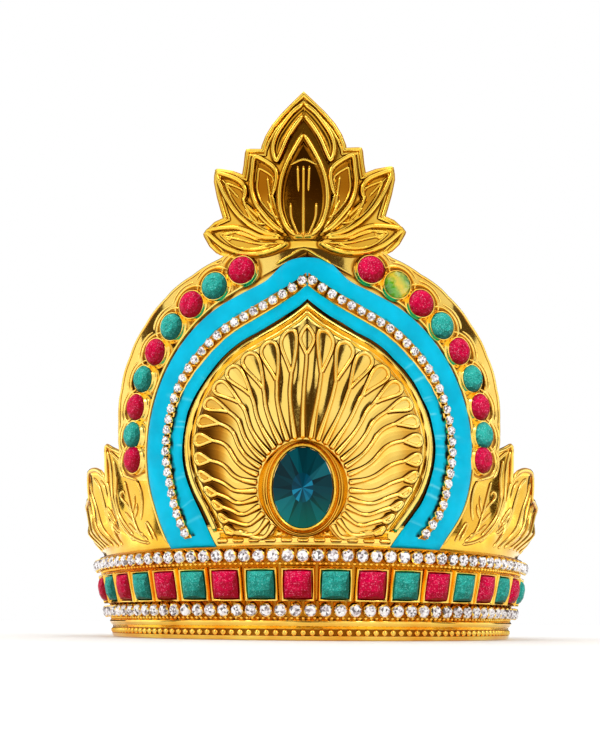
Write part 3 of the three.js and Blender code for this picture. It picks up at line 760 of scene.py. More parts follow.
# %% Band chains
BAND_CHAIN_TURN = np.radians(79.5)
BAND_CUP, BAND_CHAIN_PROUD = 2.5, 0.35
for name, z, count in (("upper_chain", 30.6, 51), ("lower_chain", 11.2, 48)):
    turn = np.linspace(-BAND_CHAIN_TURN, BAND_CHAIN_TURN, count)
    add_chain(name, seats_on_cone(turn, z, band_radius(z) + BAND_CHAIN_PROUD, BAND_FLARE), BAND_CUP)

# %% [markdown]
# ## The arch border
# Outside the tape the plate carries eighteen round stones. Its edge swells round each of them, a thin
# raised line follows the edge, another one the tape, and two short arcs lie outside each bezel. The sheet
# is one pressing, so it is one grid rather than a flat sheet with pieces on it: one parameter runs along
# the arch, the other across it, and the lift adds up what is pressed into it.

# %% Stone row
STONE_ROW = 15.2
STONE_COUNT, STONE_FIRST, STONE_PITCH = 9, 25.4, 11.35
STONE_DROP, LAST_STONE_RISE = 1.9, 0.9
STONE_INSET, LOW_STONE_INSET = 0.6, 1.6
row_flank = FLANK_LENGTH - STONE_ROW * np.tan(FLANK)
row_run = STONE_FIRST + STONE_PITCH * np.arange(STONE_COUNT)
on_flank_part = row_run / (1 - STONE_ROW * np.tan(FLANK) / FLANK_LENGTH)
on_arc = FLANK_LENGTH + (row_run - row_flank) * ARCH_RADIUS / (ARCH_RADIUS + STONE_ROW)
order = np.arange(STONE_COUNT)
stone_length = np.where(row_run < row_flank, on_flank_part, on_arc) + STONE_DROP
stone_length = stone_length - LAST_STONE_RISE * (order == STONE_COUNT - 1)
stone_inset = STONE_INSET + LOW_STONE_INSET * np.clip((order - 5) / 3, 0, 1)
stone_x, stone_z = arch_point(stone_length, STONE_ROW - stone_inset)
print("round stones at", np.round(np.c_[stone_x, stone_z], 1).tolist())

# %% Border sheet
EDGE_LENGTH = [0, 27.5, 35.1, 42.2, 50.2, 58.7, 66.4, 73.4, 79.7, 85.5, 91.7, 96.1, 98.5, 100.7, HALF_ARCH]
EDGE_DISTANCE = [23.5, 23.9, 24.8, 26.3, 27.2, 27.7, 27.3, 26.1, 24.3, 22.6, 21.9, 20.0, 15.0, 8.9, 8.9]
BORDER_COLUMNS, BORDER_ROWS = 461, 48
BORDER_INNER, BORDER_BEND, INNER_SHARE = -9, 7.4, 0.22
TAPE_INNER, TAPE_OUTER = 7.2, 8.6
SWELL, SWELL_REACH, SWELL_END = 0.8, 6, 96
SHEET_WALL = 0.9


def scalloped_edge(length):
    """Distance of the border's edge from the arch: a smooth line that swells to an arc of a circle at each
    stone."""
    run = np.abs(length)
    beside = np.abs(run[:, None] - stone_length).min(1)
    arc = np.sqrt(1 - np.clip(beside / SWELL_REACH, 0, 0.98) ** 2) - 0.6
    return np.interp(run, EDGE_LENGTH, EDGE_DISTANCE) + SWELL * arc * (run < SWELL_END)


def border_sheet():
    """Rows run from under the frame out to the scalloped edge. The sheet is raised between the stones and
    dips under the frame; painted shade lies beside frame and tape, round the stones and below the crest."""
    length = np.linspace(-HALF_ARCH, HALF_ARCH, BORDER_COLUMNS)
    edge = scalloped_edge(length)
    share = np.linspace(0, 1, BORDER_ROWS)[:, None]
    inner = np.clip(share / INNER_SHARE, 0, 1)
    outer = np.clip((share - INNER_SHARE) / (1 - INNER_SHARE), 0, 1)
    distance = BORDER_INNER + (BORDER_BEND - BORDER_INNER) * inner + (edge - BORDER_BEND) * outer
    x, z = both_halves(length, distance)
    nearest = np.hypot(np.abs(x)[..., None] - stone_x, z[..., None] - stone_z).min(-1)
    wide = np.clip((edge - 12) / 4, 0, 1)
    raised = 0.3 * ease(nearest, 6.0, 7.6) * ease(distance, 8.4, 9.4) * wide
    dip = 0.5 * ease(-distance, 6.8, 7.4) * ease(distance, -9.4, -8.6)
    # Painted shade: beside the frame and the tape, round the stones and below the crest
    beside_frame = ease(-distance, 6.4, 7.0)
    round_stones = 0.8 * bump_line(nearest - 6.8, 0.5) * wide
    beside_tape = 0.7 * bump_line(distance - TAPE_OUTER, 0.5)
    below_crest = 0.7 * bump_line(np.hypot(x, 1.6 * (z - 142)), 5)
    recess = np.clip(beside_frame + round_stones + beside_tape + below_crest, 0, 1)
    x, z = swayed_border(x, z, 1 - ease(distance, TAPE_OUTER, 12))
    points = on_plate(x, z, raised - dip).reshape(-1, 3)
    return (points, grid_quads(BORDER_ROWS, BORDER_COLUMNS)), point_marks(recess=recess)


shape, marks = border_sheet()
add_piece("arch_border", shape, sheet_gold, ["front_plate"], wall=SHEET_WALL, marks=marks)

# %% Bezels and round stones
BEZEL_SIDES, ROUND_SIDES = 36, 11
BEZEL_PROFILE = [
    (5.3, 0.3), (5.4, 1.7), (5.55, 2.0), (5.8, 2.05), (6.0, 1.7), (6.15, 1.1), (6.4, 0.6), (6.65, 0.4),
    (6.75, -0.4),
]
ROUND_RINGS = [(5.35, 0.7, 0), (5.45, 2.0, 0), (4.4, 3.4, 1), (2.6, 4.3, 0)]
ROUND_DEPTHS = {"red": 1.0, "green": 1.25}
EYE_LEAN, EYE_WIDTH = (0.6, 0.4), 9
round_x, round_z = swayed_border(np.concatenate([-stone_x, stone_x]), np.concatenate([stone_z, stone_z]))
round_seats = seats_on_plate(round_x, round_z, 0)
bezel = moulded_ring(BEZEL_PROFILE, BEZEL_SIDES, 0)
add_piece("stone_bezels", stamp(*bezel, round_seats), relief_gold, ["front_plate"])

round_cut = cut_stone(ROUND_RINGS, ROUND_SIDES)
names = ["round_stone_%s_%d" % (side, k + 1) for side in ("left", "right") for k in range(STONE_COUNT)]
pale = names.index("round_stone_right_2")
for first, colour in enumerate(GLITTER):
    chosen = [k for k in range(len(names)) if k % STONE_COUNT % 2 == first and k != pale]
    nodes = [names[k] for k in chosen]
    add_stones("round_stones_", round_cut, round_seats, chosen, colour, nodes, ROUND_DEPTHS[colour])
marks = point_marks(across=np.clip(0.5 + round_cut[0][:, :2] @ EYE_LEAN / EYE_WIDTH, 0, 1))
shape = stamp(*round_cut, [axis[[pale]] for axis in round_seats])
add_piece("pale_green_stone", shape, cats_eye, [names[pale]], faceted=True, marks=marks)

# %% [markdown]
# ## The tape and its chain
# The tape is one strip, bent along the arch and pressed down, and cut a little wider at the shoulders. Its
# cross-section is a flat loop, and the loop is carried along the arch. The creases of the bends are short
# ripples across the inner half.

# %% Tape
TAPE_COLUMNS, TAPE_ROWS = 621, 17
TAPE_LOW, TAPE_TOP = 0.3, 1.15
PEAK_WIDTH, PEAK_RUN, PEAK_BLUNT = 5, 12.6, 14
RAGGED, RAGGED_POINTS, RAGGED_RUN = 0.25, 40, 140
CREASE_COUNT, CREASE_RUN, RIGHT_CREASES = 26, (52, 128), 0.68
GLUE_SHADOW_WIDTH, GLUE_SHADOW_END = 2.6, 129
CHAIN_INSET = 1.9
CREASES = np.random.default_rng(5)


def chain_line(length):
    """Distance of the chain from the arch's middle line: it runs a little inside it down the legs."""
    run = np.abs(length)
    return -CHAIN_INSET * ease(run, 56, 90) * (1 - ease(run, 102, 122))


def tape_strip():
    """A flat closed loop across the tape, carried along the arch. It is wider and blunt at the apex, its
    inner edge is a little ragged, creases lift its inner half, and its ends are pinched."""
    length = np.linspace(-HALF_ARCH, HALF_ARCH, TAPE_COLUMNS)[:, None]
    across = np.linspace(-1, 1, TAPE_ROWS)
    loop = np.concatenate([across, across[::-1]])
    top = np.repeat([1.0, 0.0], TAPE_ROWS)
    outer = np.clip(loop, 0, 1)
    peak = PEAK_WIDTH * np.exp(-((length / PEAK_RUN) ** 4))
    distance = loop * (np.where(loop < 0, TAPE_INNER, TAPE_OUTER) + peak * outer)
    ragged_run = np.linspace(-RAGGED_RUN, RAGGED_RUN, RAGGED_POINTS)
    ragged = np.interp(length, ragged_run, CREASES.uniform(-1, 1, RAGGED_POINTS))
    distance = distance + RAGGED * ragged * (loop < -0.6)
    x, z = both_halves(length, distance)
    z = z - np.tan(-FLANK) * (np.hypot(x, PEAK_BLUNT * outer) - np.abs(x))
    where = CREASES.uniform(*CREASE_RUN, CREASE_COUNT)
    where = where * np.where(CREASES.random(CREASE_COUNT) < RIGHT_CREASES, 1, -1)
    reach = CREASES.uniform(-0.9, 0.5, CREASE_COUNT)
    width = CREASES.uniform(0.25, 0.6, CREASE_COUNT)
    lean = CREASES.uniform(-0.8, 0.8, CREASE_COUNT)
    depth = CREASES.uniform(0.3, 1, CREASE_COUNT)
    fold = bump_line(length[..., None] - where - lean * (loop[:, None] + 1), width)
    crease = (fold * np.clip((reach - loop[:, None]) * 4, 0, 1) * depth).max(-1)
    waves = 0.12 * np.sin(length * 0.9) * np.sin(length * 0.23 + loop * 2)
    rounded = np.sqrt(np.clip(1 - loop**10, 0, 1))
    pinch = np.clip((HALF_ARCH - np.abs(length)) * 2, 0, 1)
    lift = TAPE_LOW + pinch * top * ((TAPE_TOP - TAPE_LOW + waves) * rounded + 0.3 * crease)
    # The dark line beside the chain: partly adhesive, partly painted shadow
    glue = bump_line(distance - chain_line(length), GLUE_SHADOW_WIDTH) * top * (np.abs(length) < GLUE_SHADOW_END)
    points = on_plate(*swayed(x, z), lift).reshape(-1, 3)
    faces = grid_quads(TAPE_COLUMNS, len(loop), wrap_columns=True)
    return (points, faces), point_marks(crease=0.6 * crease * top, glue=glue)


shape, marks = tape_strip()
tape = add_piece("tape_strip", shape, tape_skin, ["tape"], marks=marks)

# %% Tape chain
TAPE_CHAIN_COUNT, TAPE_CHAIN_PITCH = 30, 4.3
TAPE_CUP, TAPE_CUP_LIFT = 1.95, TAPE_TOP + 0.3
STRIP_LOOP = np.array([
    (-2.7, 1.0), (-2.6, 1.4), (-2.2, 1.45), (-1.9, 1.4), (1.5, 1.4), (1.9, 1.4), (2.0, 1.0),
])
# Painted shade across the strip under the chain, one value for each point of its loop
STRIP_SHADE = np.array([0.2, 0.0, 0.0, 0.6, 0.6, 0.4, 0.8])
STRIP_COLUMNS = 240
STRIP_START, STRIP_OVER = 0.2, 0.5
STRIP_NARROWING, STRIP_PINCHED = 1.9, 1.0


def chain_strip(sign):
    """The gold strip under one half of the chain: a flat closed loop carried along the arch, narrower on
    the legs and pinched at its ends."""
    end = TAPE_CHAIN_COUNT * TAPE_CHAIN_PITCH + STRIP_OVER
    length = np.linspace(STRIP_START, end, STRIP_COLUMNS)[:, None] * sign
    distance, lift = STRIP_LOOP.T
    inner_edge = distance[0] + STRIP_NARROWING * ease(np.abs(length), 50, 84) + 0.2 * np.arange(len(lift))
    distance = np.maximum(distance, inner_edge) + chain_line(length)
    x, z = swayed(*both_halves(length, distance))
    lift = np.tile(lift, (STRIP_COLUMNS, 1))
    lift[[0, -1]] = STRIP_PINCHED
    return on_plate(x, z, lift).reshape(-1, 3), grid_quads(*lift.shape, wrap_columns=True)


for side, sign in (("left", -1), ("right", 1)):
    name = "tape_chain_" + side
    marks = point_marks(recess=np.tile(STRIP_SHADE, STRIP_COLUMNS))
    add_piece("chain_strip_" + side, chain_strip(sign), relief_gold, [name], marks=marks)
    run = sign * TAPE_CHAIN_PITCH * (np.arange(TAPE_CHAIN_COUNT) + 0.5)
    x, z = swayed(*both_halves(run, chain_line(run)))
    add_chain(name, seats_on_plate(x, z, TAPE_CUP_LIFT), TAPE_CUP)

# %% [markdown]
# ## Raised lines
# The plate's finer drawing is raised lines: ribs of petals, veins of leaves, loops of the fan. Each one is
# a half-round profile carried along a smooth curve through a few points, sunk a little into the sheet and
# thinned to nothing at both ends. A surface function says where the line lies, so that the same code serves
# plate and leaves.

# %% Curves and ridges
def smooth_path(points, step=0.5):
    """A Catmull-Rom curve: between two points, a cubic that leaves and arrives along their neighbours'
    chord."""
    p = np.asarray(points, float)
    samples = max(8, int(np.hypot(*np.diff(p, axis=0).T).sum() / step))
    p = np.vstack([2 * p[0] - p[1], p, 2 * p[-1] - p[-2]])
    t = np.linspace(0, len(p) - 3 - 1e-9, samples)
    i, f = t.astype(int), (t % 1)[:, None]
    a, b, c, d = p[i], p[i + 1], p[i + 2], p[i + 3]
    return 0.5 * (2 * b + (c - a) * f + (2 * a - 5 * b + 4 * c - d) * f**2 + (3 * b - a - 3 * c + d) * f**3)


RIDGE = np.array([
    (-1.5, 0.04, 0.85), (-1.08, 0.1, 1.0), (-0.92, 0.45, 0.3), (-0.68, 0.75, 0), (-0.36, 0.94, 0),
    (0, 1.0, 0), (0.36, 0.94, 0), (0.68, 0.75, 0), (0.92, 0.45, 0.3), (1.08, 0.1, 1.0), (1.5, 0.04, 0.85),
    (0.9, -0.6, 1), (-0.9, -0.6, 1),
])


def ridge(path, lift, width, height, surface, taper=2.0):
    """The profile RIDGE, as shares of half the width and of the height, carried along a path and thinned at
    its ends. Its third column is the shade of its feet."""
    x, z = path.T[..., None]
    dx, dz = np.gradient(path, axis=0).T[..., None]
    pace = np.maximum(np.hypot(dx, dz), 1e-9)
    run = np.concatenate([[0], np.cumsum(np.hypot(*np.diff(path, axis=0).T))])
    thin = np.sqrt(np.clip(np.minimum(run, run[-1] - run) / taper, 0, 1))[:, None]
    off = thin * RIDGE[:, 0] * np.reshape(width, (-1, 1)) / 2
    rise = thin * RIDGE[:, 1] * np.reshape(height, (-1, 1))
    points = surface(x - dz / pace * off, z + dx / pace * off, np.reshape(lift, (-1, 1)) + rise)
    return points.reshape(-1, 3), grid_quads(len(path), len(RIDGE), wrap_columns=True)


def foot_shade(*groups):
    """Painted shade for ridges, in groups of (shape, depth): dark at both feet of the profile, clear on its
    back."""
    shades = [np.tile(depth * RIDGE[:, 2], len(points) // len(RIDGE)) for (points, _), depth in groups]
    return point_marks(recess=np.concatenate(shades))


def mirrored(path):
    """The same path on the other side of the middle."""
    return path * (-1, 1)


# %% Border lines
EDGE_INSET, TAPE_LINE = 0.7, 9.3
EDGE_LINE_RUN, TAPE_LINE_RUN = (17.5, 99), (21, HALF_ARCH - 4)
BEZEL_ARCS = [(7.7, 1.15), (9.1, 0.7)]


def border_lines():
    """Along the arch: a line inside the edge and one beside the tape. At each stone: two arcs outside its
    bezel."""
    run = np.linspace(*EDGE_LINE_RUN, 260)
    edge_line = np.stack(arch_point(run, scalloped_edge(run) - EDGE_INSET), -1)
    tape_line = np.stack(arch_point(np.linspace(*TAPE_LINE_RUN, 300), TAPE_LINE), -1)
    paths = [edge_line, tape_line]
    here, ahead = (np.stack(arch_point(stone_length + step, STONE_ROW), -1) for step in (0, 0.5))
    outward = np.arctan2(ahead[:, 0] - here[:, 0], here[:, 1] - ahead[:, 1])
    for x, z, turn in zip(stone_x, stone_z, outward):
        for radius, reach in BEZEL_ARCS:
            swing = turn + np.linspace(-reach, reach, 40)
            paths.append(np.c_[x + radius * np.cos(swing), z + radius * np.sin(swing)])
    made = []
    for sign in (1, -1):
        for path in paths:
            line = np.stack(swayed_border(*(path * (sign, 1)).T, path is tape_line), -1)
            made.append(ridge(line, 0.25, 0.9, 0.6, on_plate))
    return gather(made)


shape = border_lines()
add_piece("border_lines", shape, relief_gold, ["front_plate"], marks=foot_shade((shape, 0.7)))

# %% [markdown]
# ## The frame of the fan
# Inside the tape a double moulding frames the fan, and turns along the bottom as a sill with a row of short
# bars. A curve with a bevel object could draw it. Its profile is carried along the same arch as the tape
# instead, so that the two stay side by side wherever the arch changes.

# %% Frame and sill
FRAME_PROFILE = np.array([
    (-12.5, -0.3), (-12.3, 0.9), (-12.0, 1.4), (-11.6, 1.5), (-11.2, 1.1), (-11.0, 0.8), (-10.8, 1.2),
    (-10.4, 1.9), (-9.9, 2.3), (-9.3, 2.1), (-8.9, 1.4), (-8.6, 0.4), (-8.5, -0.3),
])
FRAME_COLUMNS = 361
FRAME_GROWTH, FRAME_END = 1.3, 4.6
SILL_PROFILE = np.array([
    (34.9, -0.3), (35.0, 0.6), (36.6, 0.6), (36.9, 1.5), (37.3, 1.8), (37.7, 1.5), (37.9, 1.0), (38.1, 1.5),
    (38.5, 1.9), (38.9, 1.5), (39.1, 0.5), (39.2, -0.3),
])
SILL_HALF, SILL_COLUMNS = 32, 90
BAR_LENGTH, BAR_PITCH, BAR_Z, BAR_COUNT, BAR_STEPS = 4.7, 6.1, 35.9, 11, 12


def frame_growth(length):
    """How much wider the moulding is on the legs than at the top."""
    return FRAME_GROWTH * ease(np.abs(length), 45, 85)


def frame_moulding():
    """The moulding's profile, as distance from the arch and lift, carried along the arch down to the sill."""
    reach = HALF_ARCH - FRAME_END
    length = np.linspace(-reach, reach, FRAME_COLUMNS)[:, None]
    distance, lift = FRAME_PROFILE.T
    share = (distance[-1] - distance) / np.ptp(distance)
    x, z = swayed(*both_halves(length, distance - frame_growth(length) * share))
    lift = lift * (np.abs(length) < reach)
    return on_plate(x, z, lift).reshape(-1, 3), grid_quads(*lift.shape, wrap_columns=True)


def sill_moulding():
    """The sill's profile, as height and lift, carried straight across the plate."""
    x = np.linspace(-SILL_HALF, SILL_HALF, SILL_COLUMNS)[:, None]
    z, lift = SILL_PROFILE.T
    lift = lift * (np.abs(x) < SILL_HALF)
    return on_plate(x, z, lift).reshape(-1, 3), grid_quads(*lift.shape, wrap_columns=True)


def sill_bar(x):
    """One short bar of the sill: a ridge along a level line."""
    run = np.linspace(x - BAR_LENGTH / 2, x + BAR_LENGTH / 2, BAR_STEPS)
    return ridge(np.c_[run, np.full(BAR_STEPS, BAR_Z)], 0.5, 1.5, 0.9, on_plate, taper=0.6)


add_piece("fan_frame", gather([frame_moulding(), sill_moulding()]), relief_gold, ["front_plate"])
shape = gather([sill_bar(x) for x in BAR_PITCH * (np.arange(BAR_COUNT) - BAR_COUNT // 2)])
add_piece("sill_bars", shape, relief_gold, ["front_plate"], marks=foot_shade((shape, 1.0)))

# %% [markdown]
# ## The fan
# Thirty-one petals spread from the oval stone. Each petal's rib leaves the bezel square to it, swings over
# and arrives at the frame square to that: a Hermite curve does exactly this from two points and two
# directions. At its end the rib opens into a teardrop loop. The sheet under the ribs is a shallow dome,
# hollow between the loops.

# %% Fan map
LOOPS = 15
FAN_Z, START_X, START_Z, START_STEP = 54.6, 16.0, 17.2, np.radians(9.36)
FAN_END = 16.5
FAN_DISTANCE, FAN_SILL_Z, FAN_SILL_X = -11.9, 38.8, 9.5
PETAL_STEP, PETAL_SHRINK = 9.78, 0.159
edge_length = np.linspace(0, HALF_ARCH, 400)
fan_edge = np.stack(arch_point(edge_length, FAN_DISTANCE - frame_growth(edge_length)), -1)
fan_edge = fan_edge[fan_edge[:, 1] > FAN_SILL_Z]
sill_run = np.c_[np.linspace(fan_edge[-1, 0], FAN_SILL_X, 40), np.full(40, FAN_SILL_Z)]
fan_edge = np.concatenate([fan_edge, sill_run])
edge_run = np.concatenate([[0], np.cumsum(np.hypot(*np.diff(fan_edge, axis=0).T))])


def petal_run(count):
    """Run along the frame to the end of a petal: 9.78 mm for each one, and less the further down it lies.
    The plain sheet after the last loop takes what is left."""
    run, last = (PETAL_STEP * number - PETAL_SHRINK * number**2 for number in (count, LOOPS))
    beyond = last + (count - LOOPS) / (FAN_END - LOOPS) * (edge_run[-1] - last)
    return np.where(count > LOOPS, beyond, run)


def fan_point(petal, share):
    """Place (x, z) on the fan: the petal's number from the middle, and the share of the way from bezel to
    frame."""
    petal, share = np.broadcast_arrays(np.asarray(petal, float), np.asarray(share, float))
    count = np.abs(petal)
    run = petal_run(count)
    end_x, end_z = (np.interp(run, edge_run, fan_edge[:, axis]) for axis in (0, 1))
    turn = START_STEP * count
    start_x, start_z = START_X * np.sin(turn), FAN_Z + START_Z * np.cos(turn)
    lean = np.radians(6.5 * ease(count, 1, 7) - 19.7 * ease(count, 7, 14))
    chord = np.hypot(end_x - start_x, end_z - start_z)
    leave = (2.18 - 0.47 * ease(count, 1, 8)) * chord
    leave_x, leave_z = leave * np.sin(turn - lean), leave * np.cos(turn - lean)
    low = ease(count, 6, 10)
    arrive_x, arrive_z = end_x + 1e-9, 1.42 * (end_z - 77.7) * (1 - low) + 0.22 * end_x * low
    reach = 2.2 * chord / np.hypot(arrive_x, arrive_z)
    v = share - 0.08 * np.sin(2 * np.pi * share)
    a, b, c, d = 2 * v**3 - 3 * v**2 + 1, v**3 - 2 * v**2 + v, 3 * v**2 - 2 * v**3, v**3 - v**2
    x = a * start_x + b * leave_x + c * end_x + d * reach * arrive_x
    z = a * start_z + b * leave_z + c * end_z + d * reach * arrive_z
    x = x * np.where(petal < 0, -1, 1)
    return x + (swayed(x, z)[0] - x) * ease(share, 0.1, 0.8), z


def loop_start(petal):
    """Share of the way at which a rib opens into its loop: later at the sides, where the loops are short."""
    count = np.abs(petal)
    return 0.68 - 0.08 * ease(count, 0.2, 1) * (1 - ease(count, 3, 6)) + 0.09 * ease(count, 5, 9)


def loop_end(petal):
    """Share of the way at which a loop ends: close to the frame at the sides, further from it in the middle
    and low down."""
    count = np.abs(petal)
    return 0.94 - 0.02 * ease(count, 9, 12) - 0.07 * bump_line(count, 0.6)


def loop_half_width(petal, share):
    """Half width of the loop in petals: pointed at its start, round at its end."""
    w = np.clip((share - loop_start(petal)) / (loop_end(petal) - loop_start(petal)), 0, 1)
    return (0.72 - 0.2 * ease(np.abs(petal), 3, 8)) * w**1.1 * np.sqrt(1 - w**3)


DOME, DOME_DROP, PLAIN_LIFT = 4.6, 2.4, 1.2


def fan_lift(petal, share):
    """A dome from the bezel to the frame, fluted between the ribs, raised in the loops and hollow between
    them."""
    count = np.abs(petal)
    dome = DOME - DOME_DROP * ease(share, 0.93, 1.0)
    offset = np.abs(petal - np.round(petal))
    inside = ease(loop_half_width(petal, share) - offset, -0.06, 0.06) * ease(share, loop_start(petal), 0.86)
    hollow = ease(count, 5, 9) * ease(share, 0.5, 0.85)
    flute = 0.3 * ease(share, 0.15, 0.6) * (1 - np.cos(2 * np.pi * petal)) / 2
    plain = ease(count, LOOPS + 0.3, LOOPS + 1)
    return (dome - hollow * (1 - inside) - flute) * (1 - plain) + plain * PLAIN_LIFT


# %% Fan sheet
FAN_COLUMNS, FAN_ROWS, FAN_WALL = 500, 62, 0.8
petal = np.linspace(-FAN_END, FAN_END, FAN_COLUMNS)[None, :]
share = (1 - (1 - np.linspace(0, 1, FAN_ROWS)) ** 1.3)[:, None]
x, z = fan_point(petal, share)
shape = on_plate(x, z, fan_lift(petal, share)).reshape(-1, 3), grid_quads(FAN_ROWS, FAN_COLUMNS)
# Painted shade: the outer left of the fan is darker, most of all between the loops; low on the right a little
outside = ease(np.abs(petal - np.round(petal)) - loop_half_width(petal, share), 0.0, 0.07)
dim = 0.50 - 0.08 * ease(-petal, 9, 13)
left_side = ease(share, dim, dim + 0.34) * ease(-petal, 4.6, 7) * (1 - ease(-petal, 13.0, 14.0))
right_side = 0.35 * ease(share, 0.66, 0.84) * ease(petal, 4, 8)
marks = point_marks(recess=left_side * (0.3 + 0.7 * outside) + right_side * outside)
add_piece("fan_sheet", shape, sheet_gold, ["front_plate"], wall=FAN_WALL, marks=marks)


# %% Fan ribs
def fan_rib(number):
    """One rib: up the middle of its petal, once round the loop, and back to where the loop opens."""
    neck = float(loop_start(number))
    rise = np.linspace(0.005, neck, 40)
    w = 1 - (1 - np.linspace(0, 1, 26)) ** 2
    loop = neck + (float(loop_end(number)) - neck) * w
    wide = loop_half_width(number, loop)
    share = np.concatenate([rise, loop[1:], loop[-2::-1]])
    petal = number + np.concatenate([0 * rise, wide[1:], -wide[-2::-1]]) * (1 if number < 0 else -1)
    path = np.stack(fan_point(petal, share), -1)
    lift = fan_lift(petal, share)
    start = 1 - ease(share, 0.06, 0.3)
    width = 1.3 + 0.6 * start + 0.15 * ease(share, 0.6, 0.75) * ease(abs(number), 5, 8)
    return ridge(path, lift, width, 1.15 + 0.3 * start, on_plate, taper=0.6)


# Painted shade at the feet of each rib; on the ribs of the right half one foot is left lighter, as if lit
LIT_FOOT = 0.3
numbers = range(-LOOPS, LOOPS + 1)
ribs = [fan_rib(number) for number in numbers]
shade = np.concatenate([
    np.tile(RIDGE[:, 2] * np.where((RIDGE[:, 0] < 0) & (number > 0), LIT_FOOT, 1), len(points) // len(RIDGE))
    for number, (points, _) in zip(numbers, ribs)
])
add_piece("fan_ribs", gather(ribs), relief_gold, ["front_plate"], marks=point_marks(recess=shade))

# %% [markdown]
# ## The oval stone in its collar
# The middle stone is an oval of dark teal glass, cut so that all facets run to one point. A tall collar
# holds it, with two fine lines round its foot. The collar is an oval profile: each row has its own half
# width, half height and lift.

# %% Collar
COLLAR_ROWS = np.array([
    (10.6, 14.6, 2.0), (10.7, 14.7, 5.0), (10.9, 14.9, 5.6), (11.4, 15.4, 5.9), (11.9, 15.8, 5.5),
    (12.7, 16.55, 3.5), (12.9, 16.7, 3.1), (13.15, 16.85, 3.6), (13.4, 17.0, 3.6), (13.6, 17.1, 3.0),
    (13.85, 17.25, 2.9), (14.05, 17.4, 3.4), (14.3, 17.5, 3.4), (14.5, 17.55, 2.8), (14.9, 17.6, 2.3),
    (15.4, 17.75, 2.6), (15.9, 17.85, 3.7), (16.4, 18.0, 4.1), (16.6, 18.2, 2.0),
])
COLLAR_COLUMNS = 160
turn = np.linspace(0, 2 * np.pi, COLLAR_COLUMNS, endpoint=False)
half_x, half_z, lift = COLLAR_ROWS.T[..., None]
points = on_plate(half_x * np.sin(turn), FAN_Z + half_z * np.cos(turn), lift).reshape(-1, 3)
faces = grid_quads(len(COLLAR_ROWS), COLLAR_COLUMNS, True, True)
add_piece("oval_collar", (points, faces), collar_gold, ["front_plate"])

# %% Oval stone
OVAL_RINGS = [(0.9, 0.2, 0), (1.0, 1.2, 0), (1.0, 2.0, 0), (0.36, 3.5, 1)]
OVAL_SIDES, OVAL_HALF, OVAL_LIFT, OVAL_POINT = 18, (11.1, 15.1), 3.1, 0.4
SHOWN_X, SHOWN_Z = 11, 15
points, faces = cut_stone(OVAL_RINGS, OVAL_SIDES, scale=OVAL_HALF)
middle = points[faces].mean(1)
# Random tones of the facets, for their painted reflection
shades = np.random.default_rng(21).beta(0.8, 1.3, len(faces))
marks = {
    **face_marks(facet=shades, reach=np.hypot(middle[:, 0] / SHOWN_X, middle[:, 1] / SHOWN_Z)),
    **point_marks(fall=np.clip(0.5 - points[:, 1] / (2 * SHOWN_Z), 0, 1)),
}
points[-1, 2] += OVAL_POINT
shape = stamp(points, faces, seats_on_plate(np.zeros(1), FAN_Z, OVAL_LIFT))
add_piece("oval_stone", shape, teal_glass, ["centre_stone"], faceted=True, marks=marks)

# %% [markdown]
# ## The lotus crest
# The crest is one sheet with the outline of an open lotus. Its petals stand a little above each other and
# are hollow, so they mirror dark inside and bright at their rims; painted shade darkens their insides more,
# most of all higher up, and the foot of each outline. The sheet is a polar grid about the lotus's root; each
# petal's outline is a closed curve, and the distance inside that curve gives the petal's step, hollow and
# painted shade.

# %% Outlines, right half, x and z in mm
LOTUS_ROOT = np.array([0, 150])
LOTUS_EDGE = [
    (0, 211), (4, 207), (8.5, 202.4), (12, 198.2), (14.6, 193.8), (16.1, 189.8), (16.4, 187.6),
    (22.9, 188.4), (23.4, 182.5), (24.2, 177.2), (29.5, 179.9), (35.7, 181.9), (36, 177.6), (34.6, 171),
    (32.9, 165), (31.6, 160.7), (36, 159.4), (40.3, 156), (37.6, 151), (33.5, 146.6), (28, 144.6),
    (18, 143.6), (12, 144.4), (6.4, 146.6), (0, 147.4),
]
TOP_PETAL = [
    (0, 205.4), (4.2, 202), (8.2, 196.8), (11.1, 191.6), (12, 186.5), (10.6, 181.8), (8.6, 185.6),
    (6.7, 190.4), (3.7, 195.8), (0, 200.8),
]
BUD = [(0, 192.2), (3.2, 186.5), (6.4, 180), (8.3, 174), (9.1, 167.5), (8.7, 161), (6.5, 154.6), (3.0, 150.6)]
INNER_PETAL = [
    (7.2, 152), (11, 155), (15.2, 160), (18.6, 165.4), (20.2, 172), (19.9, 178.4), (19.1, 183.8),
    (15.8, 182.4), (12, 179.4), (10.4, 176.4), (10.6, 172), (11.8, 167.4),
]
OUTER_PETAL = [
    (8.4, 150.8), (15, 152.6), (20.6, 156.2), (25.6, 161.4), (29.6, 167.6), (32.4, 173.4), (34.2, 179.2),
    (29.4, 177.5), (24.6, 174.4), (22.6, 170.6), (23.4, 166.4),
]
LOW_PETAL = [
    (6.4, 148.2), (12, 145.8), (18, 144.9), (25, 145.9), (31.2, 149.2), (36.4, 154.2), (37.6, 156.4),
    (31, 156.5), (26, 155.9), (21, 153.7), (16, 151), (9, 150.1),
]
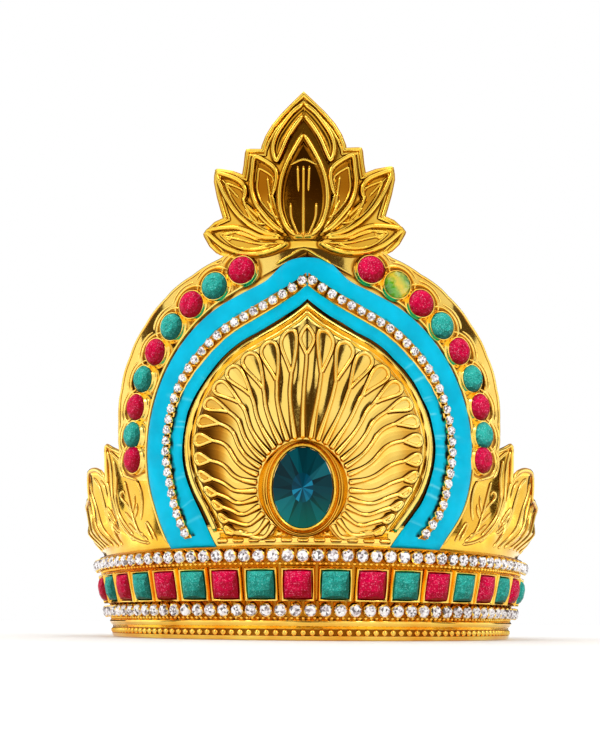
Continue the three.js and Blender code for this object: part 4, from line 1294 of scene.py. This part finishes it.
VEINS = [
    [(0, 180), (0, 165), (0, 150.8)], [(2.3, 180), (2.2, 176), (1.9, 169)],
    [(5, 164.6), (4.6, 158), (1.9, 151)],
    [(7.8, 153.6), (10.8, 158.5), (14.3, 166.5)], [(14.2, 176.4), (13.5, 171), (12, 161.6)],
    [(10, 152.6), (16.4, 159), (19.4, 166)], [(11.6, 151.8), (18.2, 156.4), (23.2, 164.2)],
    [(17.6, 157.4), (21.6, 162.6), (24.4, 169.6)], [(25.4, 168.2), (28.8, 172.4), (33, 177.4)],
    [(9.6, 148.5), (17, 148.9), (25, 151.4), (32.4, 153.8)], [(16.6, 149.8), (21.6, 152.4), (27.4, 154.7)],
    [(12, 147.3), (19, 146.7), (26, 148.2)], [(27.4, 154.3), (31.2, 154.0), (29.2, 151.9), (27.4, 154.3)],
]
HUB_LINE = [(-5.4, 180.1), (0, 182.3), (5.4, 180.1)]
ROOF_LINE = [(-11, 140.6), (-5.6, 143.8), (0, 146.6), (5.6, 143.8), (11, 140.6)]
LOW_EDGE = np.array([
    (0, 147.4), (6.4, 146.6), (12, 144.4), (18, 143.6), (28, 144.6), (33.5, 146.6), (40.3, 150),
])
PETALS = [
    (BUD, 1.5, 1.6, 0.66), (INNER_PETAL, 1.1, 1.3, 0.5), (OUTER_PETAL, 0.9, 1.1, 0.35),
    (LOW_PETAL, 0.9, 1.0, 0.35), (TOP_PETAL, 0.4, 0.7, 0.3),
]


# %% Lotus sheet: each of the petals has an outline, a step up, a hollow and a shade
EDGE_STEPS, LOTUS_ROWS = 12, 56
CREST_LIFT, CREST_BULGE, CREST_FOOT = 0.9, 1.2, 0.35


def inside_distance(outline, x, z):
    """Distance to a closed outline, positive inside: nearest edge, with the sign from how often a ray
    crosses it."""
    start, end = outline, np.roll(outline, -1, 0)
    px, pz = x[..., None] - start[:, 0], z[..., None] - start[:, 1]
    ex, ez = (end - start).T
    t = np.clip((px * ex + pz * ez) / np.maximum(ex**2 + ez**2, 1e-9), 0, 1)
    nearest = np.hypot(px - t * ex, pz - t * ez).min(-1)
    crosses = (start[:, 1] > z[..., None]) != (end[:, 1] > z[..., None])
    hit = px < pz * ex / np.where(ez == 0, 1e-9, ez)
    return nearest * np.where((crosses & hit).sum(-1) % 2 == 1, 1, -1)


def petal_outline(points):
    """A closed smooth outline; a petal that starts and ends on the middle line gets its mirror image too."""
    path = smooth_path(points, 0.9)
    return np.concatenate([path, mirrored(path)[::-1]]) if abs(points[0][0]) < 0.1 else path


def petal_depth(outline, x, z):
    """Distance inside a petal, the same on both sides of the middle."""
    return inside_distance(petal_outline(outline), np.abs(x), z)


def lotus_lift(x, z):
    """A base lift that grows towards the root, and for each petal a step up at its outline and a hollow
    inside it."""
    lift = CREST_LIFT + CREST_BULGE * bump_line(np.hypot(x, z - 158), 26)
    for outline, step, hollow, _ in PETALS:
        depth = petal_depth(outline, x, z)
        lift = lift + step * ease(depth, -0.9, 0.2) - hollow * ease(depth, 0.2, 1.6)
    foot = ease(z - np.interp(np.abs(x), *LOW_EDGE.T), -0.2, 2.4)
    return CREST_FOOT + (lift - CREST_FOOT) * foot


edge = np.asarray(LOTUS_EDGE, float)
edge = np.concatenate([edge, mirrored(edge[-2:0:-1])])
steps = np.linspace(0, 1, EDGE_STEPS, endpoint=False)[:, None]
lotus_edge = (edge[:, None] * (1 - steps) + np.roll(edge, -1, 0)[:, None] * steps).reshape(-1, 2)
reach = np.linspace(0, 1, LOTUS_ROWS)[:, None]
spread = LOTUS_ROOT + reach[..., None] * (lotus_edge - LOTUS_ROOT)
x, z = spread[..., 0], spread[..., 1]
points = on_plate(x, z, lotus_lift(x, z)).reshape(-1, 3)
faces = grid_quads(LOTUS_ROWS, len(lotus_edge), wrap_columns=True)
# Painted shade inside each petal, stronger higher up, and at the foot of each outline
upper = 0.55 + 0.7 * ease(z - np.interp(np.abs(x), [0, 40], [160, 150]), 0, 16)
# Painted shade over all but the rim, more in the upper middle
between = 0.12 + 0.3 * bump_line(x, 12) * ease(z, 165, 178)
shades = [between * ease(1 - reach, 0.05, 0.16)]
for outline, _, _, dark in PETALS:
    depth = petal_depth(outline, x, z)
    shades.append(0.8 * bump_line(depth + 1.1, 0.5) + dark * upper * ease(depth, 0.5, 1.3))
marks = point_marks(recess=np.max(shades, 0))
add_piece("lotus_sheet", (points, faces), crest_gold, ["front_plate"], wall=SHEET_WALL, marks=marks)

# %% Lotus lines
RIM_SHARE, SECOND_RIM_SHARE, HEART_SHARE = 0.972, 0.95, 0.66


def lotus_line(path, width, height, sink=0.1):
    """One raised line on the lotus, following the lift of the sheet below it."""
    return ridge(path, lotus_lift(*path.T) - sink, width, height, on_plate)


def both_sides(points, width, height):
    """A raised line on the right of the lotus, and its mirror image."""
    path = smooth_path(points)
    return [lotus_line(path, width, height), lotus_line(mirrored(path), width, height)]


rim_inset = LOTUS_ROOT + RIM_SHARE * (lotus_edge - LOTUS_ROOT)
half_rim = rim_inset[:EDGE_STEPS * LOTUS_EDGE.index((33.5, 146.6)) + 1]
rim = np.concatenate([mirrored(half_rim)[:0:-1], half_rim])
second_rim = LOTUS_ROOT + SECOND_RIM_SHARE * (rim - LOTUS_ROOT)
rims = gather([lotus_line(rim, 1.5, 1.0, sink=0), lotus_line(second_rim, 1.1, 0.8, sink=0)])
lines = []
for outline in (TOP_PETAL, BUD, INNER_PETAL, OUTER_PETAL, LOW_PETAL):
    lines += both_sides(outline, 1.7, 1.3)
for outline in (INNER_PETAL, OUTER_PETAL, LOW_PETAL):
    heart = np.mean(outline, 0) + HEART_SHARE * (outline - np.mean(outline, 0))
    lines += both_sides(heart, 1.1, 0.9)
for vein in VEINS:
    lines += both_sides(vein, 1.15, 0.95)[:2 if vein[0][0] else 1]
lines += [lotus_line(smooth_path(HUB_LINE), 1.0, 0.8), ridge(smooth_path(ROOF_LINE), 0.3, 1.0, 0.8, on_plate)]
drawing = gather(lines)
marks = foot_shade((rims, 0.5), (drawing, 0.9))
add_piece("lotus_lines", gather([rims, drawing]), crest_gold, ["front_plate"], marks=marks)

# %% [markdown]
# ## The side leaves
# At each side three leaves stand on the band's rim and curl outwards, one tall and two lower. They could be
# three sheets bent by hand. Here they are one sheet round the ring, as they were pressed, whose top follows
# the leaves' outline. Their drawing is again raised lines, given by angle and height.

# %% Leaf surface
LEAF_TOP = np.array([
    (31.2, 40), (32.6, 47), (34.4, 55), (36.8, 61), (39.6, 65), (42.6, 67.4), (45, 69.4), (47.5, 72.6),
    (50, 75), (53.8, 78), (56.4, 80), (57.1, 76), (57.8, 70), (58.4, 65), (59.5, 68.2), (61, 70.2),
    (63, 71.4), (65, 71.6), (67, 71.2), (68.6, 70), (69.7, 67.8), (70.4, 64), (71, 60.4), (72.4, 60.4),
    (74, 60), (76.5, 59), (79, 57.4), (82, 54.4), (85, 50.6), (88, 46), (91, 40),
])
LEAF_SWING = np.array([
    (36.8, -1.4), (50, -1.4), (54.5, -0.2), (57.5, 0.6), (58.5, 1.2), (61, 2.4), (65, 3.8), (69.5, 4.7),
    (71, 5.0), (74, 5.3), (79, 5.4), (85, 5.4), (91, 4.4),
])
LEAF_MIDRIBS = np.array([54.5, 65.0, 79.0])
LEAF_FOOT_Z = 24
LEAF_COLUMNS, LEAF_ROWS = 200, 50
DEGREE_MM = 1.75


def on_leaf(run, z, lift):
    """A point of the leaves: run is the angle from the front in steps of 1.75 mm a degree; the tops swing
    outwards."""
    angle = np.abs(run) / DEGREE_MM
    high = BAND_HEIGHT + 26 - 14 * ease(angle, 48, 58)
    swing = np.interp(angle, *LEAF_SWING.T) * ease(z, BAND_HEIGHT, high)
    return on_ring(np.radians(angle) * np.sign(run), z, plate_radius(z) + swing + lift)


def leaf_lift(angle, z):
    """Each leaf is a trough with a raised middle: a bell about its midrib, and a rim along its top."""
    top = np.interp(angle, *LEAF_TOP.T)
    ribs = bump_line(angle[..., None] - LEAF_MIDRIBS - 0.12 * (z[..., None] - 60), 2.6).max(-1)
    return ease(z, BAND_HEIGHT, BAND_HEIGHT + 8) * (0.9 * ribs + 0.5 * bump_line(top - z, 1.6))


def leaf_sheet(sign):
    """Columns run round the ring, rows from the foot inside the band up to the leaves' outline."""
    even = np.linspace(LEAF_TOP[0, 0], LEAF_TOP[-1, 0], LEAF_COLUMNS)
    angle = np.sort(np.concatenate([even, LEAF_TOP[1:-1, 0]]))[None, :]
    top = np.interp(angle, *LEAF_TOP.T)
    z = LEAF_FOOT_Z + np.linspace(0, 1, LEAF_ROWS)[:, None] * (top - LEAF_FOOT_Z)
    points = on_leaf(sign * angle * DEGREE_MM, z, leaf_lift(angle, z))
    return points.reshape(-1, 3), grid_quads(*z.shape)


# %% Leaf lines, angle in degrees and height in mm
LEAF_LINES = [
    ([(55.9, 77.4), (51.6, 71.4), (47.2, 66), (44.4, 61), (43, 54.5), (43.4, 46)], 1.3),
    ([(56.6, 77.6), (55.4, 70), (55.4, 63), (55.5, 57), (54.4, 52), (53, 47.4), (50, 42.4), (46, 38)], 1.3),
    ([(54.2, 73), (53.5, 66), (53.8, 60), (53.9, 56), (52.8, 50), (50.4, 45.2), (46.6, 40.4)], 1.1),
    ([(40.4, 37.4), (44.4, 41.6), (46.6, 47), (48.6, 54), (50.6, 63.6)], 1.1),
    ([(46.4, 48), (49.4, 52.6), (51.7, 55.8), (52.1, 58.4), (51.1, 58.9), (50.7, 57.4)], 0.95),
    ([(45.4, 44.4), (48.4, 47.6), (51, 50.6)], 0.95), ([(47, 50), (46.4, 53), (46.2, 57)], 0.95),
    ([(46.2, 47), (45.2, 50), (45.2, 53.4)], 0.95), ([(42.2, 40), (46, 42.4), (49, 45.6)], 0.95),
    ([(37.2, 37), (38.6, 40.4), (40.8, 44.6), (41.3, 44), (40.2, 40.6), (38.6, 37.4)], 1.0),
    ([(39.8, 36.4), (44, 37.8), (48, 40.4), (50.4, 43)], 1.0),
    ([(52, 36.6), (56.4, 42), (59, 49), (60.4, 56), (62, 63), (64.6, 67.8)], 1.2),
    ([(55, 36.4), (59.4, 41), (62, 47), (63.6, 54), (65.6, 60.6), (67.6, 66.6)], 1.2),
    ([(57.4, 56), (57.7, 62), (59.6, 66), (62.6, 69.4)], 1.2),
    ([(58.6, 57.4), (59.6, 62.4), (61.4, 66)], 1.1),
    ([(55, 46.6), (57.4, 50.6), (59, 53.4), (58.4, 50), (55.8, 46)], 1.1),
    ([(52.6, 42.4), (55.4, 44.8), (57.6, 47.4), (56.6, 44.4), (53.4, 41.6)], 1.1),
    ([(58.6, 37), (63, 42.6), (65.6, 49), (67.6, 55.6), (69.6, 62)], 1.2),
    ([(61.6, 37), (66.4, 41.6), (69.4, 47.6), (71.4, 54), (73, 58)], 1.2),
    ([(65.4, 37), (70, 41.4), (73.6, 47), (76.4, 53), (78, 56.4)], 1.2),
    ([(69.4, 37), (74, 41), (78, 46.4), (81, 52)], 1.2),
    ([(74, 37), (78.6, 41), (82.4, 45.6), (84.4, 49)], 1.2),
    ([(79, 37), (83.4, 40.6), (87, 44.6)], 1.1), ([(68.6, 50.6), (70.6, 55.4), (72, 57.6)], 1.0),
]
LEAF_RIM_INSET, LEAF_RIM_WIDTH, LEAF_LINE_HEIGHT = 0.7, 1.4, 0.75
leaf_rim = np.maximum(LEAF_TOP - (0, LEAF_RIM_INSET), (0, BAND_HEIGHT))
for side, sign in (("left", -1), ("right", 1)):
    node = ["side_leaves_" + side]
    add_piece("leaf_sheet_" + side, leaf_sheet(sign), leaf_gold, node, wall=SHEET_WALL)
    made = []
    for points, width in [(leaf_rim, LEAF_RIM_WIDTH), *LEAF_LINES]:
        path = smooth_path(np.multiply(points, (DEGREE_MM, 1)), 0.6)
        lift = leaf_lift(path[:, 0] / DEGREE_MM, path[:, 1])
        made.append(ridge(path * (sign, 1), lift, width, LEAF_LINE_HEIGHT, on_leaf))
    shape = gather(made)
    add_piece("leaf_lines_" + side, shape, relief_gold, node, marks=foot_shade((shape, 0.55)))

# %% [markdown]
# ## The plate's foot
# Below the sill the plate goes on down inside the band, where it is fastened. It is plain, and shows only
# from above and behind.

# %% Foot
FOOT_LOW, FOOT_TOP, FOOT_STEP, FOOT_HALF = 22.6, 42, 5.6, 52.4
FOOT_ROWS, FOOT_COLUMNS = 10, 80
x = np.linspace(-FOOT_HALF, FOOT_HALF, FOOT_COLUMNS)[None, :]
foot_top = FOOT_TOP - FOOT_STEP * ease(np.abs(x), 39, 42)
z = FOOT_LOW + np.linspace(0, 1, FOOT_ROWS)[:, None] * (foot_top - FOOT_LOW)
shape = on_plate(x, z, 0).reshape(-1, 3), grid_quads(FOOT_ROWS, FOOT_COLUMNS)
add_piece("plate_foot", shape, sheet_gold, ["front_plate"], wall=SHEET_WALL)

# %% [markdown]
# ## Floor, light and background
# A mirror shows what stands round it, so light matters more than colour here. A picture of a room could
# surround the crown; soft boxes are plainer, and each one is set for a part of it. Two low ones light the
# fan, two tall ones the border and the crest, and two at the sides the leaves. One hangs above, one stands
# behind, and two small windows give the stones their glints. The room between them stays dark: gold then
# turns bright at its slopes and brown where it faces the camera. The floor is pale paper that ends just
# before the camera; it glows, faintly near the crown and fully far off, so that it pales into the white
# background.

# %% Floor
FLOOR_RINGS, FLOOR_SPOKES = np.array([0, 2000, 5000, 6000]), 96
FLOOR_BACK, FLOOR_Z, FLOOR_GLOW_REACH = 5600, -0.05, 2
turn = np.linspace(0, 2 * np.pi, FLOOR_SPOKES, endpoint=False)
points = on_ring(turn, FLOOR_Z, FLOOR_RINGS[:, None]) + (0, FLOOR_BACK, 0)
faces = grid_quads(len(FLOOR_RINGS), FLOOR_SPOKES, wrap_columns=True)
floor_mesh = write_mesh("floor", points.reshape(-1, 3), faces)
floor_paper, tree, shader = new_material("floor_paper", Roughness=0.7, Emission_Strength=1)
place = object_place(tree)
paper = ramp(tree, noise(tree, place, 3), (0.3, (0.90, 0.90, 0.90)), (0.7, (0.93, 0.93, 0.93)))
# The floor glows by its distance from the crown: faint close by, full from 2 m away
away = new_node(tree, "VectorMath", operation="LENGTH", _0=place).outputs["Value"]
away = map_range(tree, away, high=FLOOR_GLOW_REACH)
glow = ramp(tree, away, (0.05, (0.12, 0.12, 0.12)), (0.3, (0.5, 0.5, 0.5)), (1.0, (1, 1, 1)))
set_inputs(tree, shader, Base_Color=paper, Emission_Color=glow)
floor_mesh.materials.append(floor_paper)
floor = bpy.data.objects.new("floor", floor_mesh)
bpy.context.scene.collection.objects.link(floor)


# %% Lights, in metres, with place, size and radiance
LIGHT_AIM = (0, 0, 0.1)
SOFT_BOXES = {
    "left_low": ((-0.83, -1.04, -0.06), (1.75, 0.52), 1.14),
    "right_low": ((0.85, -1.02, -0.06), (1.75, 0.52), 1.06),
    "left_tall": ((-0.90, -1.02, 0.66), (1.6, 0.96), 0.98),
    "right_tall": ((0.92, -1.00, 0.66), (1.5, 0.96), 0.9),
    "left_side": ((-1.5, 0.35, 0.4), (1.0, 1.0), 1.25),
    "right_side": ((1.5, 0.35, 0.4), (1.0, 1.0), 1.1),
    "top_box": ((0, -0.25, 1.5), (1.5, 1.1), 1.4),
    "left_window": ((-0.62, -0.85, 0.95), (0.32, 0.32), 6),
    "right_window": ((0.66, -0.82, 0.95), (0.32, 0.32), 6),
    "back_box": ((0, 1.5, 0.9), (1.6, 0.8), 0.9),
}


def soft_box(name, place, size, radiance):
    """A rectangular light that looks at the crown; its power is its radiance times its area times pi."""
    light = bpy.data.lights.new(name, "AREA")
    light.shape, light.size, light.size_y = "RECTANGLE", *size
    light.energy = radiance * np.pi * size[0] * size[1]
    holder = bpy.data.objects.new(name, light)
    back = np.subtract(place, LIGHT_AIM) / np.linalg.norm(np.subtract(place, LIGHT_AIM))
    side = np.cross((0, 1, 0) if abs(back[2]) > 0.9 else (0, 0, 1), back)
    side = side / np.linalg.norm(side)
    pose = np.eye(4)
    pose[:3, :3] = np.stack([side, np.cross(back, side), back], -1)
    pose[:3, 3] = place
    holder.matrix_world = Matrix(pose.tolist())
    bpy.context.scene.collection.objects.link(holder)


for name, (place, size, radiance) in SOFT_BOXES.items():
    soft_box(name, place, size, radiance)
print("soft boxes:", list(SOFT_BOXES))

# %% Background
world = bpy.data.worlds.new("studio")
bpy.context.scene.world = world
world.use_nodes = True
tree = world.node_tree
direction = new_node(tree, "TexCoord").outputs["Generated"]
height = new_node(tree, "SeparateXYZ", Vector=direction).outputs["Z"]
room = ramp(
    tree, height, (0.0, (0.07, 0.042, 0.018)), (0.25, (0.11, 0.075, 0.045)), (0.6, (0.4, 0.38, 0.35)),
    (1.0, (0.6, 0.6, 0.6)),
)
seen = new_node(tree, "LightPath").outputs["Is Camera Ray"]
set_inputs(tree, tree.nodes["Background"], Color=mix(tree, seen, room, WHITE))
bpy.context.scene.view_settings.view_transform = "Standard"
